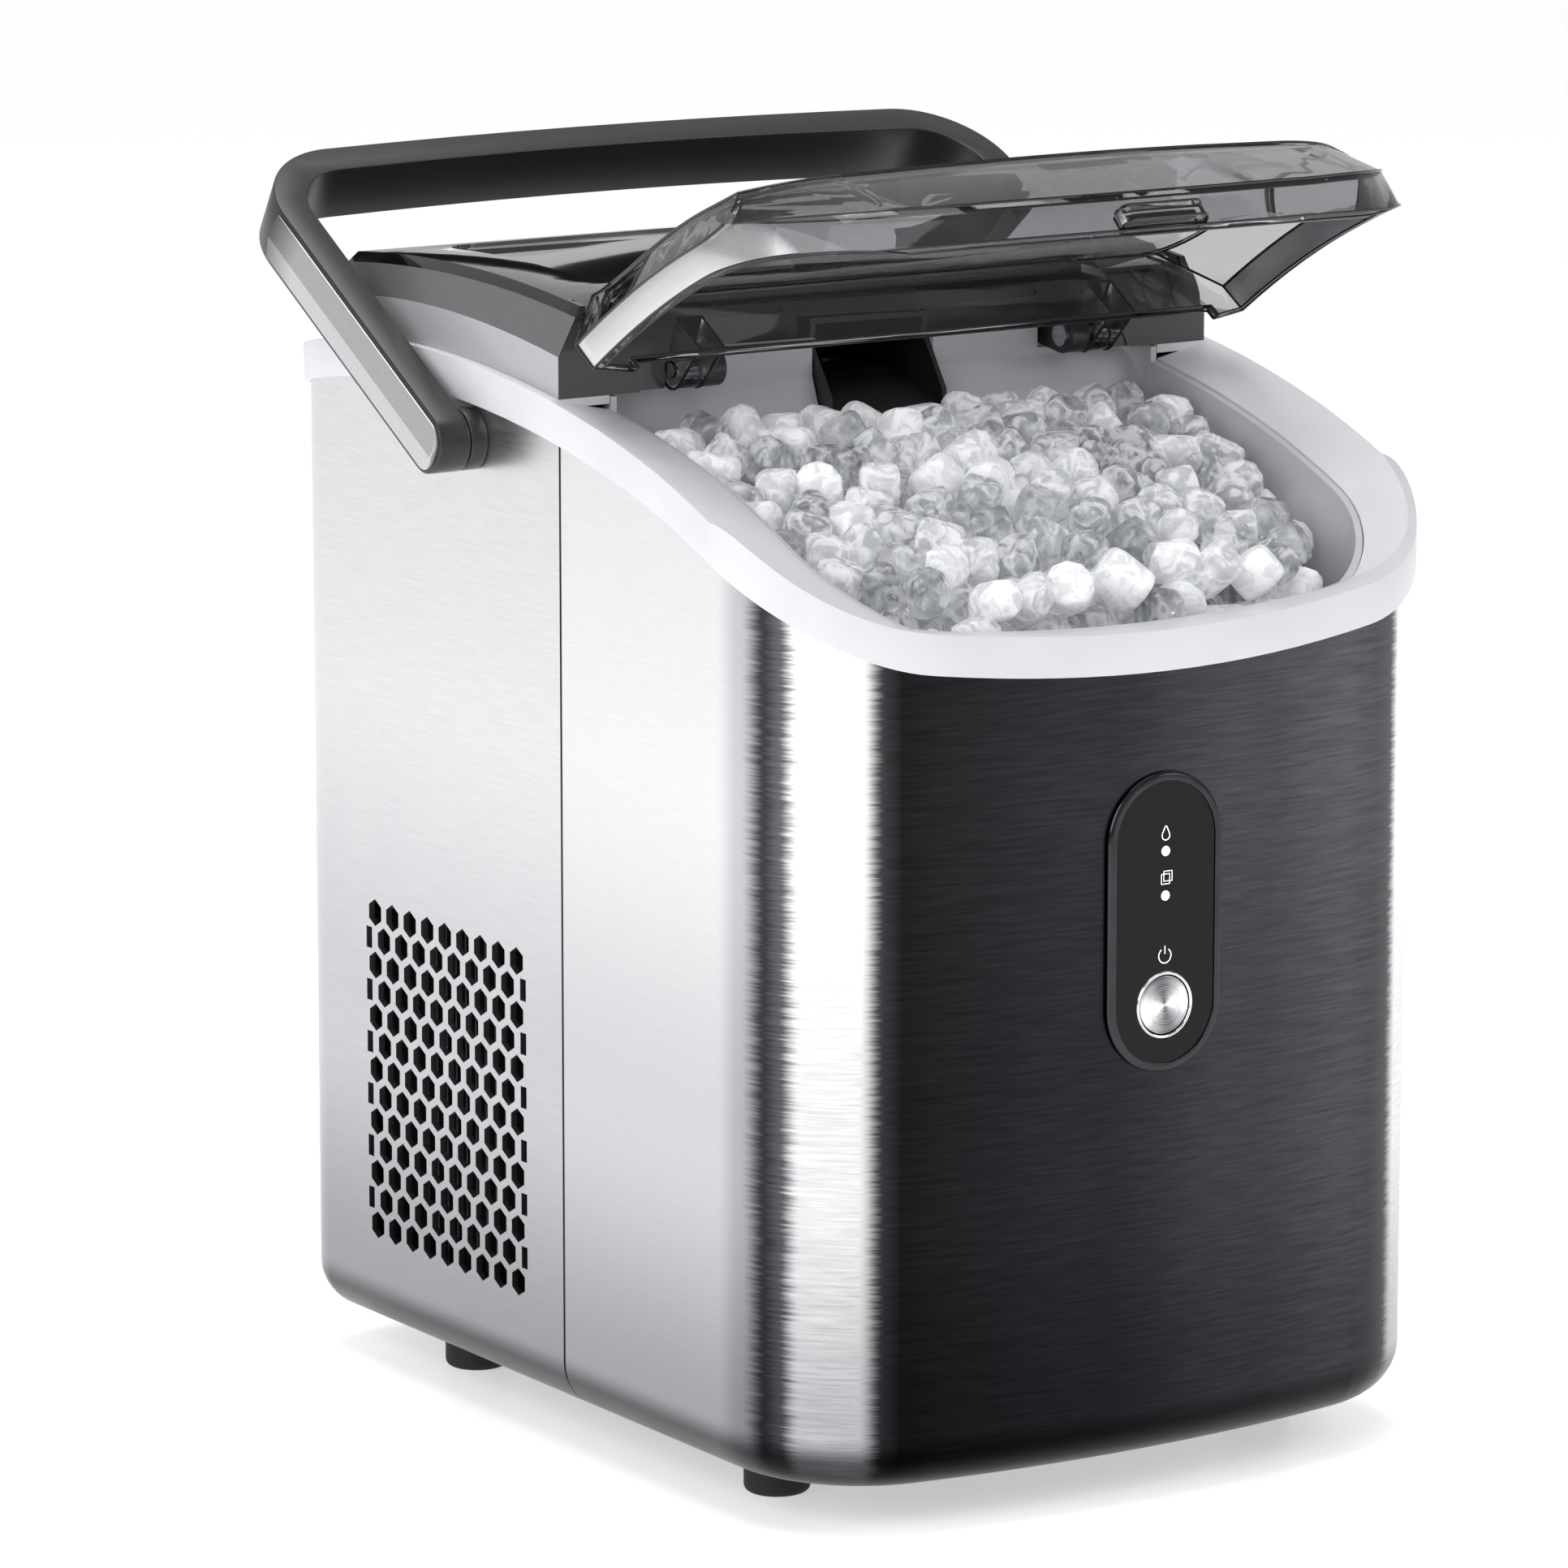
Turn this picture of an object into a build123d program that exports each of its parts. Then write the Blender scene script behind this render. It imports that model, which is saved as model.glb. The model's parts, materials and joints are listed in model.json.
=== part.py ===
from build123d import *

import os
from math import cos, radians, sin, sqrt

from numpy.polynomial import Polynomial

# Countertop nugget ice maker with a carrying handle, in millimetres.
# X is the width, -Y is the front, +Z is up, and the origin is on the surface under the feet.
# The lid is stored part open and the handle folded back, as the machine stands on a counter.

os.makedirs("parts", exist_ok=True)

# ---- Overall sizes ---------------------------------------------------------------
body_width = 226.0
body_depth = 285.6
foot_height = 11.3
crown_height = 311.0  # highest point of the rim
bow_radius = 430.0  # the front face is bowed outwards
front_corner = 47.5
rear_corner = 17.0
base_roll = 15.0  # rounded edge between the walls and the underside
shell_wall = 2.0
base_lip = 27.0  # flat underside left around the base opening
seam_y = -9.0  # where the front shell meets the rear shell
seam_gap = 0.4

# ---- Feet ------------------------------------------------------------------------
foot_places = [(-85.0, 86.0), (85.0, 86.0), (-84.0, -76.0), (84.0, -76.0)]
foot_radius = 9.5
foot_screw_radius = 2.0
base_screw_places = [
    (-88.0, -30.0), (88.0, -30.0), (-88.0, 12.0), (88.0, 12.0),
    (-45.0, 114.0), (45.0, 114.0), (-45.0, -112.0), (45.0, -112.0),
]
base_screw_radius = 1.5

# ---- Rim -------------------------------------------------------------------------
rim_proud = 2.0  # how far the rim stands out from the shells
rim_height = 11.5
rim_plate = 2.5
rim_fit = 0.1  # clearance between the rim's skirt and the shells
ledge_fall = 0.2  # drop of the side ledges, per millimetre inwards
opening_half = 95.0
opening_front = 131.0
opening_rear = 4.0
opening_corner = 35.0
# The crown line: share of the rim's half depth, and drop below the crown's highest point.
crown_stations = [(-1.0, 63.0), (-0.83, 45.0), (-0.525, 25.5), (-0.076, 7.0), (0.414, 0.0), (0.907, 5.9)]

# ---- Rear cover ------------------------------------------------------------------
cover_half = 112.0
cover_front = -7.0
cover_rear = 133.8
cover_band = 12.0  # upright band at the foot of the cover
cover_lean = 1.9  # rise of the side facets, per millimetre inwards
cover_wall = 2.2
cover_top = 335.3
top_panel_thickness = 3.0
cover_foot_z = 303.0
ear_relief = 9.0
dish_depth = 1.2
dish_front = 14.0
dish_rear = 106.0
dish_half = 86.0
dish_corner = 16.0
ear_inner = 76.0  # the cover's front ears reach from here outwards
beam_front = 5.0

# ---- Lid and hinge ---------------------------------------------------------------
lid_half = 112.0
lid_front = 136.3
lid_corner = 44.0
lid_wall = 2.4
lid_seat_gap = 0.6  # clearance between the closed lid and the rim
lid_skirt = 10.0
lid_side_rise = 1.17  # rise of the side facets, per millimetre inwards
lid_nose_skirt = 13.5
lid_nose_rise = 1.49  # rise of the front facet, per millimetre backwards
lid_top_stations = [
    (-10.0, 336.0), (-44.0, 320.0), (-77.0, 309.4), (-95.0, 301.3), (-118.0, 291.5), (-142.0, 281.0),
]
lid_rear_foot = (-24.0, 302.0)  # Y and Z of the closed lid's rear edge, at the bottom
lid_rear_head = (-17.0, 332.5)
lid_rear_leg = 12.0  # the rear wall reaches the rim only this far in from each side
hinge_y = -8.0
hinge_z = 310.0
lid_open_angle = 45.7
hinge_pin_radius = 2.0
hinge_pin_fit = 0.05
knuckle_radius = 5.5
knuckle_start = 67.0
knuckle_end = 75.0
bracket_start = 60.0
bracket_end = 66.0

# ---- Handle ----------------------------------------------------------------------
handle_y = 38.0
handle_z = 288.0
handle_lean = 30.5  # angle of the folded arms above the horizontal
handle_half = 129.0
handle_bar = 10.0  # thickness of the arms and the crossbar
handle_height = 18.0
handle_reach = 125.5  # pivot to the outside of the crossbar's ends
handle_arch = 3.5
handle_corner = 30.0
trim_height = 15.0
trim_edge = 0.6
trim_ridge = 2.0
trim_length = 106.0
pivot_radius = 4.0
pivot_fit = 0.05
bush_radius = 9.0
bush_sleeve = 6.5
side_play = 0.4

# ---- Control panel ---------------------------------------------------------------
panel_z = 166.0
panel_height = 85.0
panel_width = 38.6
bezel_band = 2.5
panel_face_y = -143.9
led_radius = 1.4
led_heights = (186.1, 173.5)
button_z = 142.5
button_radius = 8.25
button_gap = 0.35
ring_band = 0.9
button_travel = 1.2
board_y = -132.0

# ---- Ice bin ---------------------------------------------------------------------
liner_wall = 2.0
liner_fit = 0.3
liner_floor = 122.0
liner_waist = 196.0  # the front wall slopes inwards down to this height
back_slope_low = 262.0
back_slope_high = 303.0
back_riser_foot = 297.0
basket_floor = 158.0
basket_half = 86.0
basket_front = -97.0
basket_rear = -19.0
basket_wall = 2.0
rail_z = 226.0
rail_width = 3.5
moving_gap = 0.3  # clearance kept around pieces that move
chute_half = 21.0
chute_floor = 289.0

# ---- Freezing column -------------------------------------------------------------
column_y = 44.0
motor_offset = 30.0
gear_module = 1.0
wheel_teeth = 48
pinion_teeth = 12
gearbox_base = 150.0
gearbox_height = 36.0
gearbox_wall = 3.0
gearbox_half = 34.0
gearbox_front = 12.0
gearbox_rear = 92.0
tube_radius = 22.0
tube_wall = 3.0
tube_top = 286.0
auger_radius = 18.3
auger_core = 8.0
auger_pitch = 22.0
head_top = 300.0
motor_radius = 22.0

# ---- Cooling system --------------------------------------------------------------
vent_y = (16.0, 96.0)
vent_z = 44.5
vent_rows = 13
vent_pitch_y = 10.0
vent_pitch_z = 7.9
vent_radius = 4.1
condenser_x = -106.0
condenser_depth = 18.0
condenser_low = (6.0, 34.0)
condenser_high = (106.0, 146.0)
fan_y = 56.0
fan_z = 90.0
fan_radius = 41.0
fan_tip_gap = 3.0
compressor_x = 62.0
compressor_y = 80.0
compressor_radius = 38.0
compressor_top = 138.0
pipe_radius = 3.0

# ---- Shells: smaller sizes -------------------------------------------------------
louvre_x = 22.0
louvre_z = 64.0
louvre_count = 9
louvre_pitch = 9.0
drain_x = -60.0
drain_z = 37.0
drain_radius = 7.0
inlet_x = 84.0
inlet_z = 40.0
inlet_radius = 7.5

# ---- Base: smaller sizes ---------------------------------------------------------
foot_recess = 5.0
grommet_height = 8.0

# ---- Rim: smaller sizes ----------------------------------------------------------
rear_opening = (14.0, 124.0)

# ---- Rear cover: smaller sizes ---------------------------------------------------
cover_corner = 14.0
cover_tail_z = 316.0

# ---- Hinge: smaller sizes --------------------------------------------------------
beam_low = 319.5
beam_depth = 7.0
beam_web = 2.0

# ---- Lid: smaller sizes ----------------------------------------------------------
lip_half = 14.0
lip_depth = 3.5
lip_height = 5.0

# ---- Control panel: smaller sizes ------------------------------------------------
bezel_front = -144.4
bezel_back = -137.6
bezel_web = 1.2
face_back = -141.5
led_back = -140.6
ring_front = -144.3
ring_back = -141.0
button_front = -144.1
flange_front = -140.6
flange_back = -139.4
stem_radius = 2.5
stem_end = -137.9
board_thickness = 1.6
board_half = 14.0
post_heights = (199.0, 157.0)
led_hole = 2.2
spring_radius = 6.2
spring_wire = 0.4
spring_turns = 3

# ---- Ice bin: smaller sizes ------------------------------------------------------
liner_top_rear = 314.5
waist_drop = 30.0
foam_gap = 0.4
float_place = (66.0, -60.0)
float_travel = 12.0
sensor_y = -22.0
sensor_z = 284.0

# ---- Freezing column: smaller sizes ----------------------------------------------
wheel_width = 8.0
pinion_shaft = 4.0
top_journal = 5.0
flight_turns = 3.7
motor_length = 54.0
coil_turns = 8
coil_pitch = 8.6
nozzle_radius = 4.2
chute_wall = 1.6
chute_roof = 318.6
frame_plate = 2.5

# ---- Cooling system: smaller sizes -----------------------------------------------
fin_count = 19
fin_thickness = 0.8
fin_pitch = 5.5
tube_rows = 6
fin_tube = 3.2
blade_depth = 12.0
fan_motor_radius = 17.0
fan_hub = 13.0
fan_shaft = 2.0
blade_count = 5
blade_pitch = 32.0
fan_motor_length = 20.0
drier_place = (-84.0, 124.0)
drier_low, drier_high = 62.0, 118.0
pipe_top = 168.0
pipe_lane = 123.0

# ---- Water: smaller sizes --------------------------------------------------------
pump_place = (-62.0, -70.0)
hose_radius = 3.5
feed_x = -36.0
riser_y = 3.0
plug_radius = 5.0

# ---- Electrics: smaller sizes ----------------------------------------------------
board_z = 212.0
board_middle = (76.0, 80.0)

# ---- Worked-out sizes ------------------------------------------------------------
half_width = body_width / 2
half_depth = body_depth / 2
rim_half = half_width + rim_proud
rim_front = half_depth + rim_proud
shell_bottom = foot_height
pan_z = shell_bottom + shell_wall
pan_thickness = 2.0
pan_top = pan_z + pan_thickness
sky = crown_height + 200
underground = -1000.0
crown_shape = Polynomial.fit(
    [share * rim_front for share, drop in crown_stations],
    [crown_height - drop for share, drop in crown_stations],
    4,
)


# ---- Shared outlines and surfaces ------------------------------------------------
def crown(y):
    """Height of the rim's outer top edge at a depth y."""
    return float(crown_shape(y))


def outline(half, front, rear, bow, corner, rear_round):
    """Plan view with a bowed front, wide front corners and tighter rear corners."""
    corner_y = -front + bow - sqrt(bow**2 - half**2)
    with BuildSketch() as plan:
        with BuildLine():
            ThreePointArc((-half, corner_y), (0, -front), (half, corner_y))
            Polyline((half, corner_y), (half, rear), (-half, rear), (-half, corner_y))
        make_face()
        fillet(plan.vertices().group_by(Axis.Y)[-1], rear_round)
        fillet(plan.vertices().group_by(Axis.Y)[0], corner)
    return plan.sketch


def body_outline(grow):
    """The body's plan outline, grown outwards by grow."""
    front = half_depth + grow
    rear_round = max(rear_corner + grow, shell_wall)
    corner = max(front_corner + grow, shell_wall)
    return outline(half_width + grow, front, front, bow_radius + grow, corner, rear_round)


def front_y(x, half, front, bow, corner):
    """Depth of a plan outline's front edge at a width x."""
    centre_x = half - corner
    centre_y = -front + bow - sqrt((bow - corner) ** 2 - centre_x**2)
    if abs(x) <= centre_x * bow / (bow - corner):
        return -front + bow - sqrt(bow**2 - x**2)
    return centre_y - sqrt(max(corner**2 - (abs(x) - centre_x) ** 2, 0))


def prism(plan, low, high):
    """A plan outline extruded between two heights."""
    with BuildPart() as solid:
        with BuildSketch(Plane.XY.offset(low)):
            add(plan)
        extrude(amount=high - low)
    return solid.part


def across(profile, half):
    """A side profile in the YZ plane extruded to both sides."""
    with BuildPart() as solid:
        with BuildSketch(Plane.YZ):
            add(profile)
        extrude(amount=half, both=True)
    return solid.part


def crown_profile(lift, far):
    """Side profile between the crown line, raised by lift, and a far height."""
    reach = rim_front + 5
    depths = [reach * step / 5 for step in range(-5, 6)]
    with BuildSketch() as profile:
        with BuildLine():
            Spline(*[(y, crown(y) + lift) for y in depths])
            Polyline(
                (reach, crown(reach) + lift), (reach, far), (-reach, far), (-reach, crown(-reach) + lift),
            )
        make_face()
    return profile.sketch


def nose_profile(level, half, far):
    """Front profile between the heights given by level(x) and a far height."""
    widths = [half * step / 7 for step in range(-7, 8)]
    with BuildSketch() as profile:
        with BuildLine():
            Spline(*[(x, level(x)) for x in widths])
            Polyline((half, level(half)), (half, far), (-half, far), (-half, level(-half)))
        make_face()
    return profile.sketch


def under_facets(lift, start, rise):
    """Space under two side facets, which follow the crown and climb inwards."""
    with BuildPart() as left_facet:
        with BuildSketch(Plane.YZ.offset(-start)):
            add(crown_profile(lift, underground))
        extrude(amount=2.2 * start * sqrt(1 + rise**2), dir=(1, 0, rise))
    with BuildPart() as facets:
        add(left_facet.part)
        add(left_facet.part.mirror(Plane.YZ), mode=Mode.INTERSECT)
    return facets.part


def ledge_level(x):
    """Height of the rim's front top edge at a width x."""
    edge = min(abs(x), rim_half)
    return crown(front_y(edge, rim_half, rim_front, bow_radius + rim_proud, front_corner + rim_proud))


def above_ledge(gap):
    """All the space above the rim's top face, raised by gap."""
    with BuildPart() as side_slopes:
        with BuildSketch(Plane.YZ.offset(-rim_half)):
            add(crown_profile(gap, sky))
        extrude(amount=2 * rim_half, dir=(1, 0, -ledge_fall))
        split(bisect_by=Plane.YZ, keep=Keep.BOTTOM)
        mirror(about=Plane.YZ)
    with BuildPart() as nose_space:
        with BuildSketch(Plane.XZ.offset(rim_front + 1)):
            add(nose_profile(lambda x: ledge_level(x) + gap, rim_half, sky))
        extrude(amount=-2 * rim_front)
    with BuildPart() as front_space:
        add(side_slopes.part)
        add(nose_space.part, mode=Mode.INTERSECT)
        split(bisect_by=Plane.XZ.offset(-cover_front), keep=Keep.TOP)
    with BuildPart() as rear_space:
        add(across(crown_profile(gap, sky), rim_half))
        split(bisect_by=Plane.XZ.offset(-cover_front), keep=Keep.BOTTOM)
    with BuildPart() as space:
        add(front_space.part)
        add(rear_space.part)
    return space.part


def both_sides(solid):
    """A solid together with its mirror image on the other side of the machine."""
    return Part(children=[solid, solid.mirror(Plane.YZ)])


# ---- Shells ----------------------------------------------------------------------
def hull(grow, bottom, roll):
    """The body's outer form, grown outwards, with a rolled lower edge."""
    with BuildPart() as form:
        with BuildSketch(Plane.XY.offset(bottom)):
            add(body_outline(grow))
        extrude(amount=crown_height + 10 - bottom)
        fillet(form.faces().sort_by(Axis.Z)[0].edges(), roll)
    return form.part


def shell_blank():
    """Both shells in one piece: walls, rolled edge and a lip round the open base."""
    with BuildPart() as blank:
        add(hull(0, shell_bottom, base_roll))
        add(hull(-shell_wall, shell_bottom + shell_wall, base_roll - shell_wall), mode=Mode.SUBTRACT)
        add(prism(body_outline(-base_roll - base_lip), 0, sky), mode=Mode.SUBTRACT)
        add(above_ledge(-rim_plate - rim_fit), mode=Mode.SUBTRACT)
        with Locations(*[(x, y, pan_z) for x, y in foot_places]):
            Hole(foot_screw_radius, depth=2 * shell_wall)
        with Locations(*[(x, y, pan_z) for x, y in base_screw_places]):
            Hole(base_screw_radius, depth=2 * shell_wall)
    return blank.part


shells = shell_blank()
with BuildPart() as front_shell:
    add(shells)
    split(bisect_by=Plane.XZ.offset(-seam_y + seam_gap / 2), keep=Keep.TOP)
    with BuildSketch(Plane.XZ.offset(half_depth - 20)):
        with Locations((0, panel_z)):
            SlotOverall(panel_height - 4, panel_width - 4, rotation=90)
    extrude(amount=40, mode=Mode.SUBTRACT)
front_shell.part.label = "front_shell"
export_step(front_shell.part, "parts/front_shell.step")

def vent_rows_on(plane_rows):
    """Six-sided vent holes in staggered rows, as a sketch in the YZ plane."""
    first, last = vent_y
    middle = (first + last) / 2
    full = round((last - first) / vent_pitch_y) + 1
    with BuildSketch() as holes:
        for row in range(plane_rows):
            height = vent_z + row * vent_pitch_z
            count = full - row % 2
            with Locations((middle, height)):
                with GridLocations(vent_pitch_y, vent_pitch_z, count, 1):
                    RegularPolygon(vent_radius, 6, rotation=30)
            if row % 2:
                with Locations((first - 3.5, height), (last + 3.5, height)):
                    Rectangle(3.2, 6.4)
    return holes.sketch


pivot_hole = bush_sleeve + 0.1

with BuildPart() as rear_shell:
    add(shells)
    split(bisect_by=Plane.XZ.offset(-seam_y - seam_gap / 2), keep=Keep.BOTTOM)
    with BuildSketch(Plane.YZ):
        add(vent_rows_on(vent_rows))
        with Locations((handle_y, handle_z)):
            Circle(pivot_hole)
    extrude(amount=half_width + 1, both=True, mode=Mode.SUBTRACT)
    with BuildSketch(Plane.XZ.offset(-half_depth - 1)):
        with Locations((louvre_x, louvre_z + (louvre_count - 1) * louvre_pitch / 2)):
            with GridLocations(1, louvre_pitch, 1, louvre_count):
                SlotOverall(76, 4.4)
        with Locations((drain_x, drain_z)):
            Circle(drain_radius)
        with Locations((inlet_x, inlet_z)):
            Circle(inlet_radius)
    extrude(amount=shell_wall + 2, mode=Mode.SUBTRACT)
rear_shell.part.label = "rear_shell"
export_step(rear_shell.part, "parts/rear_shell.step")


# ---- Base ------------------------------------------------------------------------
pan_inset = base_roll + 0.5
compressor_feet = [(angle, compressor_radius + 5.0) for angle in (50.0, 180.0, 310.0)]

with BuildPart() as base_pan:
    add(prism(body_outline(-pan_inset), pan_z, pan_top))
    with Locations(*[(x, y, pan_top) for x, y in foot_places]):
        Hole(foot_screw_radius, depth=pan_thickness)
    with Locations(*[(x, y, pan_top) for x, y in base_screw_places]):
        Hole(base_screw_radius, depth=pan_thickness)
    with Locations((0, -50, pan_top)):
        with GridLocations(0, 9, 1, 7):
            Box(60, 3, 3 * pan_thickness, mode=Mode.SUBTRACT)
base_pan.part.label = "base_pan"
export_step(base_pan.part, "parts/base_pan.step")

with BuildPart() as rubber_feet:
    with Locations(*[(x, y, 0) for x, y in foot_places]):
        Cylinder(foot_radius, foot_height, align=(Align.CENTER, Align.CENTER, Align.MIN))
    chamfer(rubber_feet.edges().group_by(Axis.Z)[0], 1.2)
    with Locations(*[(x, y, foot_height) for x, y in foot_places]):
        Hole(foot_screw_radius, depth=foot_height)
    with Locations(*[(x, y, 0) for x, y in foot_places]):
        Cylinder(4.2, foot_recess, align=(Align.CENTER, Align.CENTER, Align.MIN), mode=Mode.SUBTRACT)
rubber_feet.part.label = "rubber_feet"
export_step(rubber_feet.part, "parts/rubber_feet.step")

with BuildPart() as foot_screws:
    with Locations(*[(x, y, foot_recess) for x, y in foot_places]):
        Cylinder(3.8, 2.6, align=(Align.CENTER, Align.CENTER, Align.MAX))
        Cylinder(foot_screw_radius, pan_top + 1 - foot_recess, align=(Align.CENTER, Align.CENTER, Align.MIN))
    with Locations(*[(x, y, pan_top) for x, y in foot_places]):
        Cylinder(3.6, 3.0, align=(Align.CENTER, Align.CENTER, Align.MIN))
foot_screws.part.label = "foot_screws"
export_step(foot_screws.part, "parts/foot_screws.step")

# ---- Rim -------------------------------------------------------------------------
def opening_outline(shrink):
    """Plan outline of the opening over the ice bin."""
    depth = opening_front + opening_rear - 2 * shrink
    width = 2 * (opening_half - shrink)
    with BuildSketch() as plan:
        with Locations((0, (opening_rear - opening_front) / 2)):
            Rectangle(width, depth)
        fillet(plan.vertices().group_by(Axis.Y)[0], opening_corner - shrink)
        fillet(plan.vertices().group_by(Axis.Y)[-1], 8.0 - shrink)
    return plan.sketch


with BuildPart() as skirt_space:
    add(prism(body_outline(rim_fit), 0, sky))
    add(above_ledge(-rim_plate), mode=Mode.SUBTRACT)
with BuildPart() as top_rim:
    add(prism(body_outline(rim_proud), 100, crown_height + 10))
    add(prism(opening_outline(0), 0, sky), mode=Mode.SUBTRACT)
    add(across(crown_profile(-rim_height, underground), rim_half + 5), mode=Mode.SUBTRACT)
    add(above_ledge(0), mode=Mode.SUBTRACT)
    add(skirt_space.part, mode=Mode.SUBTRACT)
    with BuildSketch(Plane.XY.offset(100)):
        with Locations((0, sum(rear_opening) / 2)):
            RectangleRounded(2 * opening_half, rear_opening[1] - rear_opening[0], 10)
        Rectangle(2 * chute_half + 1, 2 * rear_opening[0])
    extrude(amount=sky, mode=Mode.SUBTRACT)
top_rim.part.label = "top_rim"
export_step(top_rim.part, "parts/top_rim.step")

# ---- Rear cover ------------------------------------------------------------------
cover_top_profile = [(cover_front, cover_top - 5.2), (60.0, cover_top), (115.0, cover_top - 2.4)]


def cover_form(inset, roof_drop):
    """The cover's outer form, shrunk by inset, with its roof lowered by roof_drop."""
    with BuildSketch() as plan:
        with Locations((0, (cover_front + cover_rear) / 2)):
            Rectangle(2 * (cover_half - inset), cover_rear - cover_front - 2 * inset)
        fillet(plan.vertices().group_by(Axis.Y)[-1], cover_corner - inset)
    front, middle, rear = [(y, z - roof_drop) for y, z in cover_top_profile]
    tail = (cover_rear, cover_tail_z - inset)
    with BuildSketch() as profile:
        with BuildLine():
            roof = ThreePointArc(front, middle, (rear[0] - inset, rear[1]))
            Polyline(roof @ 1, tail, (tail[0], 200), (front[0], 200), roof @ 0)
        make_face()
    with BuildPart() as form:
        add(prism(plan.sketch, 200, sky))
        add(across(profile.sketch, cover_half), mode=Mode.INTERSECT)
        slope_inset = inset * sqrt(1 + cover_lean**2)
        add(under_facets(cover_band - slope_inset, cover_half, cover_lean), mode=Mode.INTERSECT)
        add(across(crown_profile(rim_fit, sky), cover_half), mode=Mode.INTERSECT)
    return form.part


def between_ears(rear):
    """The gap between the cover's front ears, back to a depth."""
    with BuildPart() as gap:
        with BuildSketch(Plane.XY.offset(250)):
            with Locations((0, cover_front - 1)):
                Rectangle(2 * ear_inner, rear - cover_front + 1, align=(Align.CENTER, Align.MIN))
        extrude(amount=150)
    return gap.part


def lid_notch():
    """Relief in the tops of the ears, where the open lid's rear edge comes to rest."""
    with BuildPart() as notch:
        with BuildSketch(Plane.YZ):
            with BuildLine():
                Polyline((-9, 324.6), (4.4, 332.6), (4.4, 345), (-9, 345), close=True)
            make_face()
        extrude(amount=103, both=True)
    return notch.part


panel_under = cover_form(0, top_panel_thickness)
with BuildPart() as rear_cover:
    add(panel_under)
    add(cover_form(cover_wall, top_panel_thickness + cover_wall), mode=Mode.SUBTRACT)
    add(between_ears(beam_front), mode=Mode.SUBTRACT)
    add(lid_notch(), mode=Mode.SUBTRACT)
    with BuildSketch(Plane.XZ.offset(-cover_front - cover_wall / 2)):
        for side in (-1, 1):
            with Locations((side * ear_inner, cover_foot_z)):
                Circle(ear_relief)
    extrude(amount=cover_wall, mode=Mode.SUBTRACT)
rear_cover.part.label = "rear_cover"
export_step(rear_cover.part, "parts/rear_cover.step")

with BuildPart() as dish:
    add(cover_form(0, 0))
    add(cover_form(0, dish_depth), mode=Mode.SUBTRACT)
    with BuildSketch(Plane.XY.offset(250)):
        with Locations((0, (dish_front + dish_rear) / 2)):
            RectangleRounded(2 * dish_half, dish_rear - dish_front, dish_corner)
    extrude(amount=150, mode=Mode.INTERSECT)
with BuildPart() as cover_top_panel:
    add(cover_form(0, 0))
    add(panel_under, mode=Mode.SUBTRACT)
    add(between_ears(beam_front), mode=Mode.SUBTRACT)
    add(lid_notch(), mode=Mode.SUBTRACT)
    add(dish.part, mode=Mode.SUBTRACT)
cover_top_panel.part.label = "cover_top_panel"
export_step(cover_top_panel.part, "parts/cover_top_panel.step")

# ---- Hinge -----------------------------------------------------------------------
beam_roof_z = cover_top_profile[0][1] - top_panel_thickness - cover_wall - 0.2
bar_top = crown(beam_front + beam_depth)

with BuildPart() as hinge_beam:
    with BuildSketch(Plane.YZ):
        with BuildLine():
            back = beam_front + beam_depth
            web = back - beam_web
            foot = bar_top + 0.2
            Polyline(
                (beam_front, beam_low), (beam_front, beam_roof_z), (back, beam_roof_z),
                (back, foot), (web, foot), (web, beam_low), close=True,
            )
        make_face()
    extrude(amount=ear_inner - 0.2, both=True)
    with BuildSketch(Plane.XZ.offset(-beam_front - beam_depth)):
        Rectangle(2 * chute_half + 3, 2 * beam_low)
    extrude(amount=beam_depth, mode=Mode.SUBTRACT)
    for side in (-1, 1):
        with BuildSketch(Plane.XZ.offset(-beam_front)):
            with Locations((side * 45, (beam_low + beam_roof_z) / 2)):
                SlotOverall(30, 1.6)
        extrude(amount=-1.0, mode=Mode.SUBTRACT)
hinge_beam.part.label = "hinge_beam"
export_step(hinge_beam.part, "parts/hinge_beam.step")

bracket_rear = beam_front + beam_depth - beam_web - 0.1
with BuildPart() as bracket:
    with BuildSketch(Plane.YZ.offset(bracket_start)):
        with BuildLine():
            Polyline(
                (hinge_y, hinge_z - knuckle_radius), (bracket_rear, hinge_z - knuckle_radius),
                (bracket_rear, hinge_z + 5), (hinge_y + 3, hinge_z + knuckle_radius - 1),
                (hinge_y, hinge_z + knuckle_radius), close=True,
            )
        make_face()
        with Locations((hinge_y, hinge_z)):
            Circle(knuckle_radius)
            Circle(hinge_pin_radius, mode=Mode.SUBTRACT)
    extrude(amount=bracket_end - bracket_start)
    add(across(crown_profile(rim_fit, sky), rim_half), mode=Mode.INTERSECT)
hinge_brackets = both_sides(bracket.part)
hinge_brackets.label = "hinge_brackets"
export_step(hinge_brackets, "parts/hinge_brackets.step")

with BuildPart() as pin:
    with BuildSketch(Plane.YZ.offset(bracket_start)):
        with Locations((hinge_y, hinge_z)):
            Circle(hinge_pin_radius)
    extrude(amount=knuckle_end + 0.5 - bracket_start)
    with BuildSketch(Plane.YZ.offset(bracket_start - 1.2)):
        with Locations((hinge_y, hinge_z)):
            Circle(hinge_pin_radius + 1.4)
    extrude(amount=1.2)
hinge_pins = both_sides(pin.part)
hinge_pins.label = "hinge_pins"
export_step(hinge_pins, "parts/hinge_pins.step")


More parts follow.
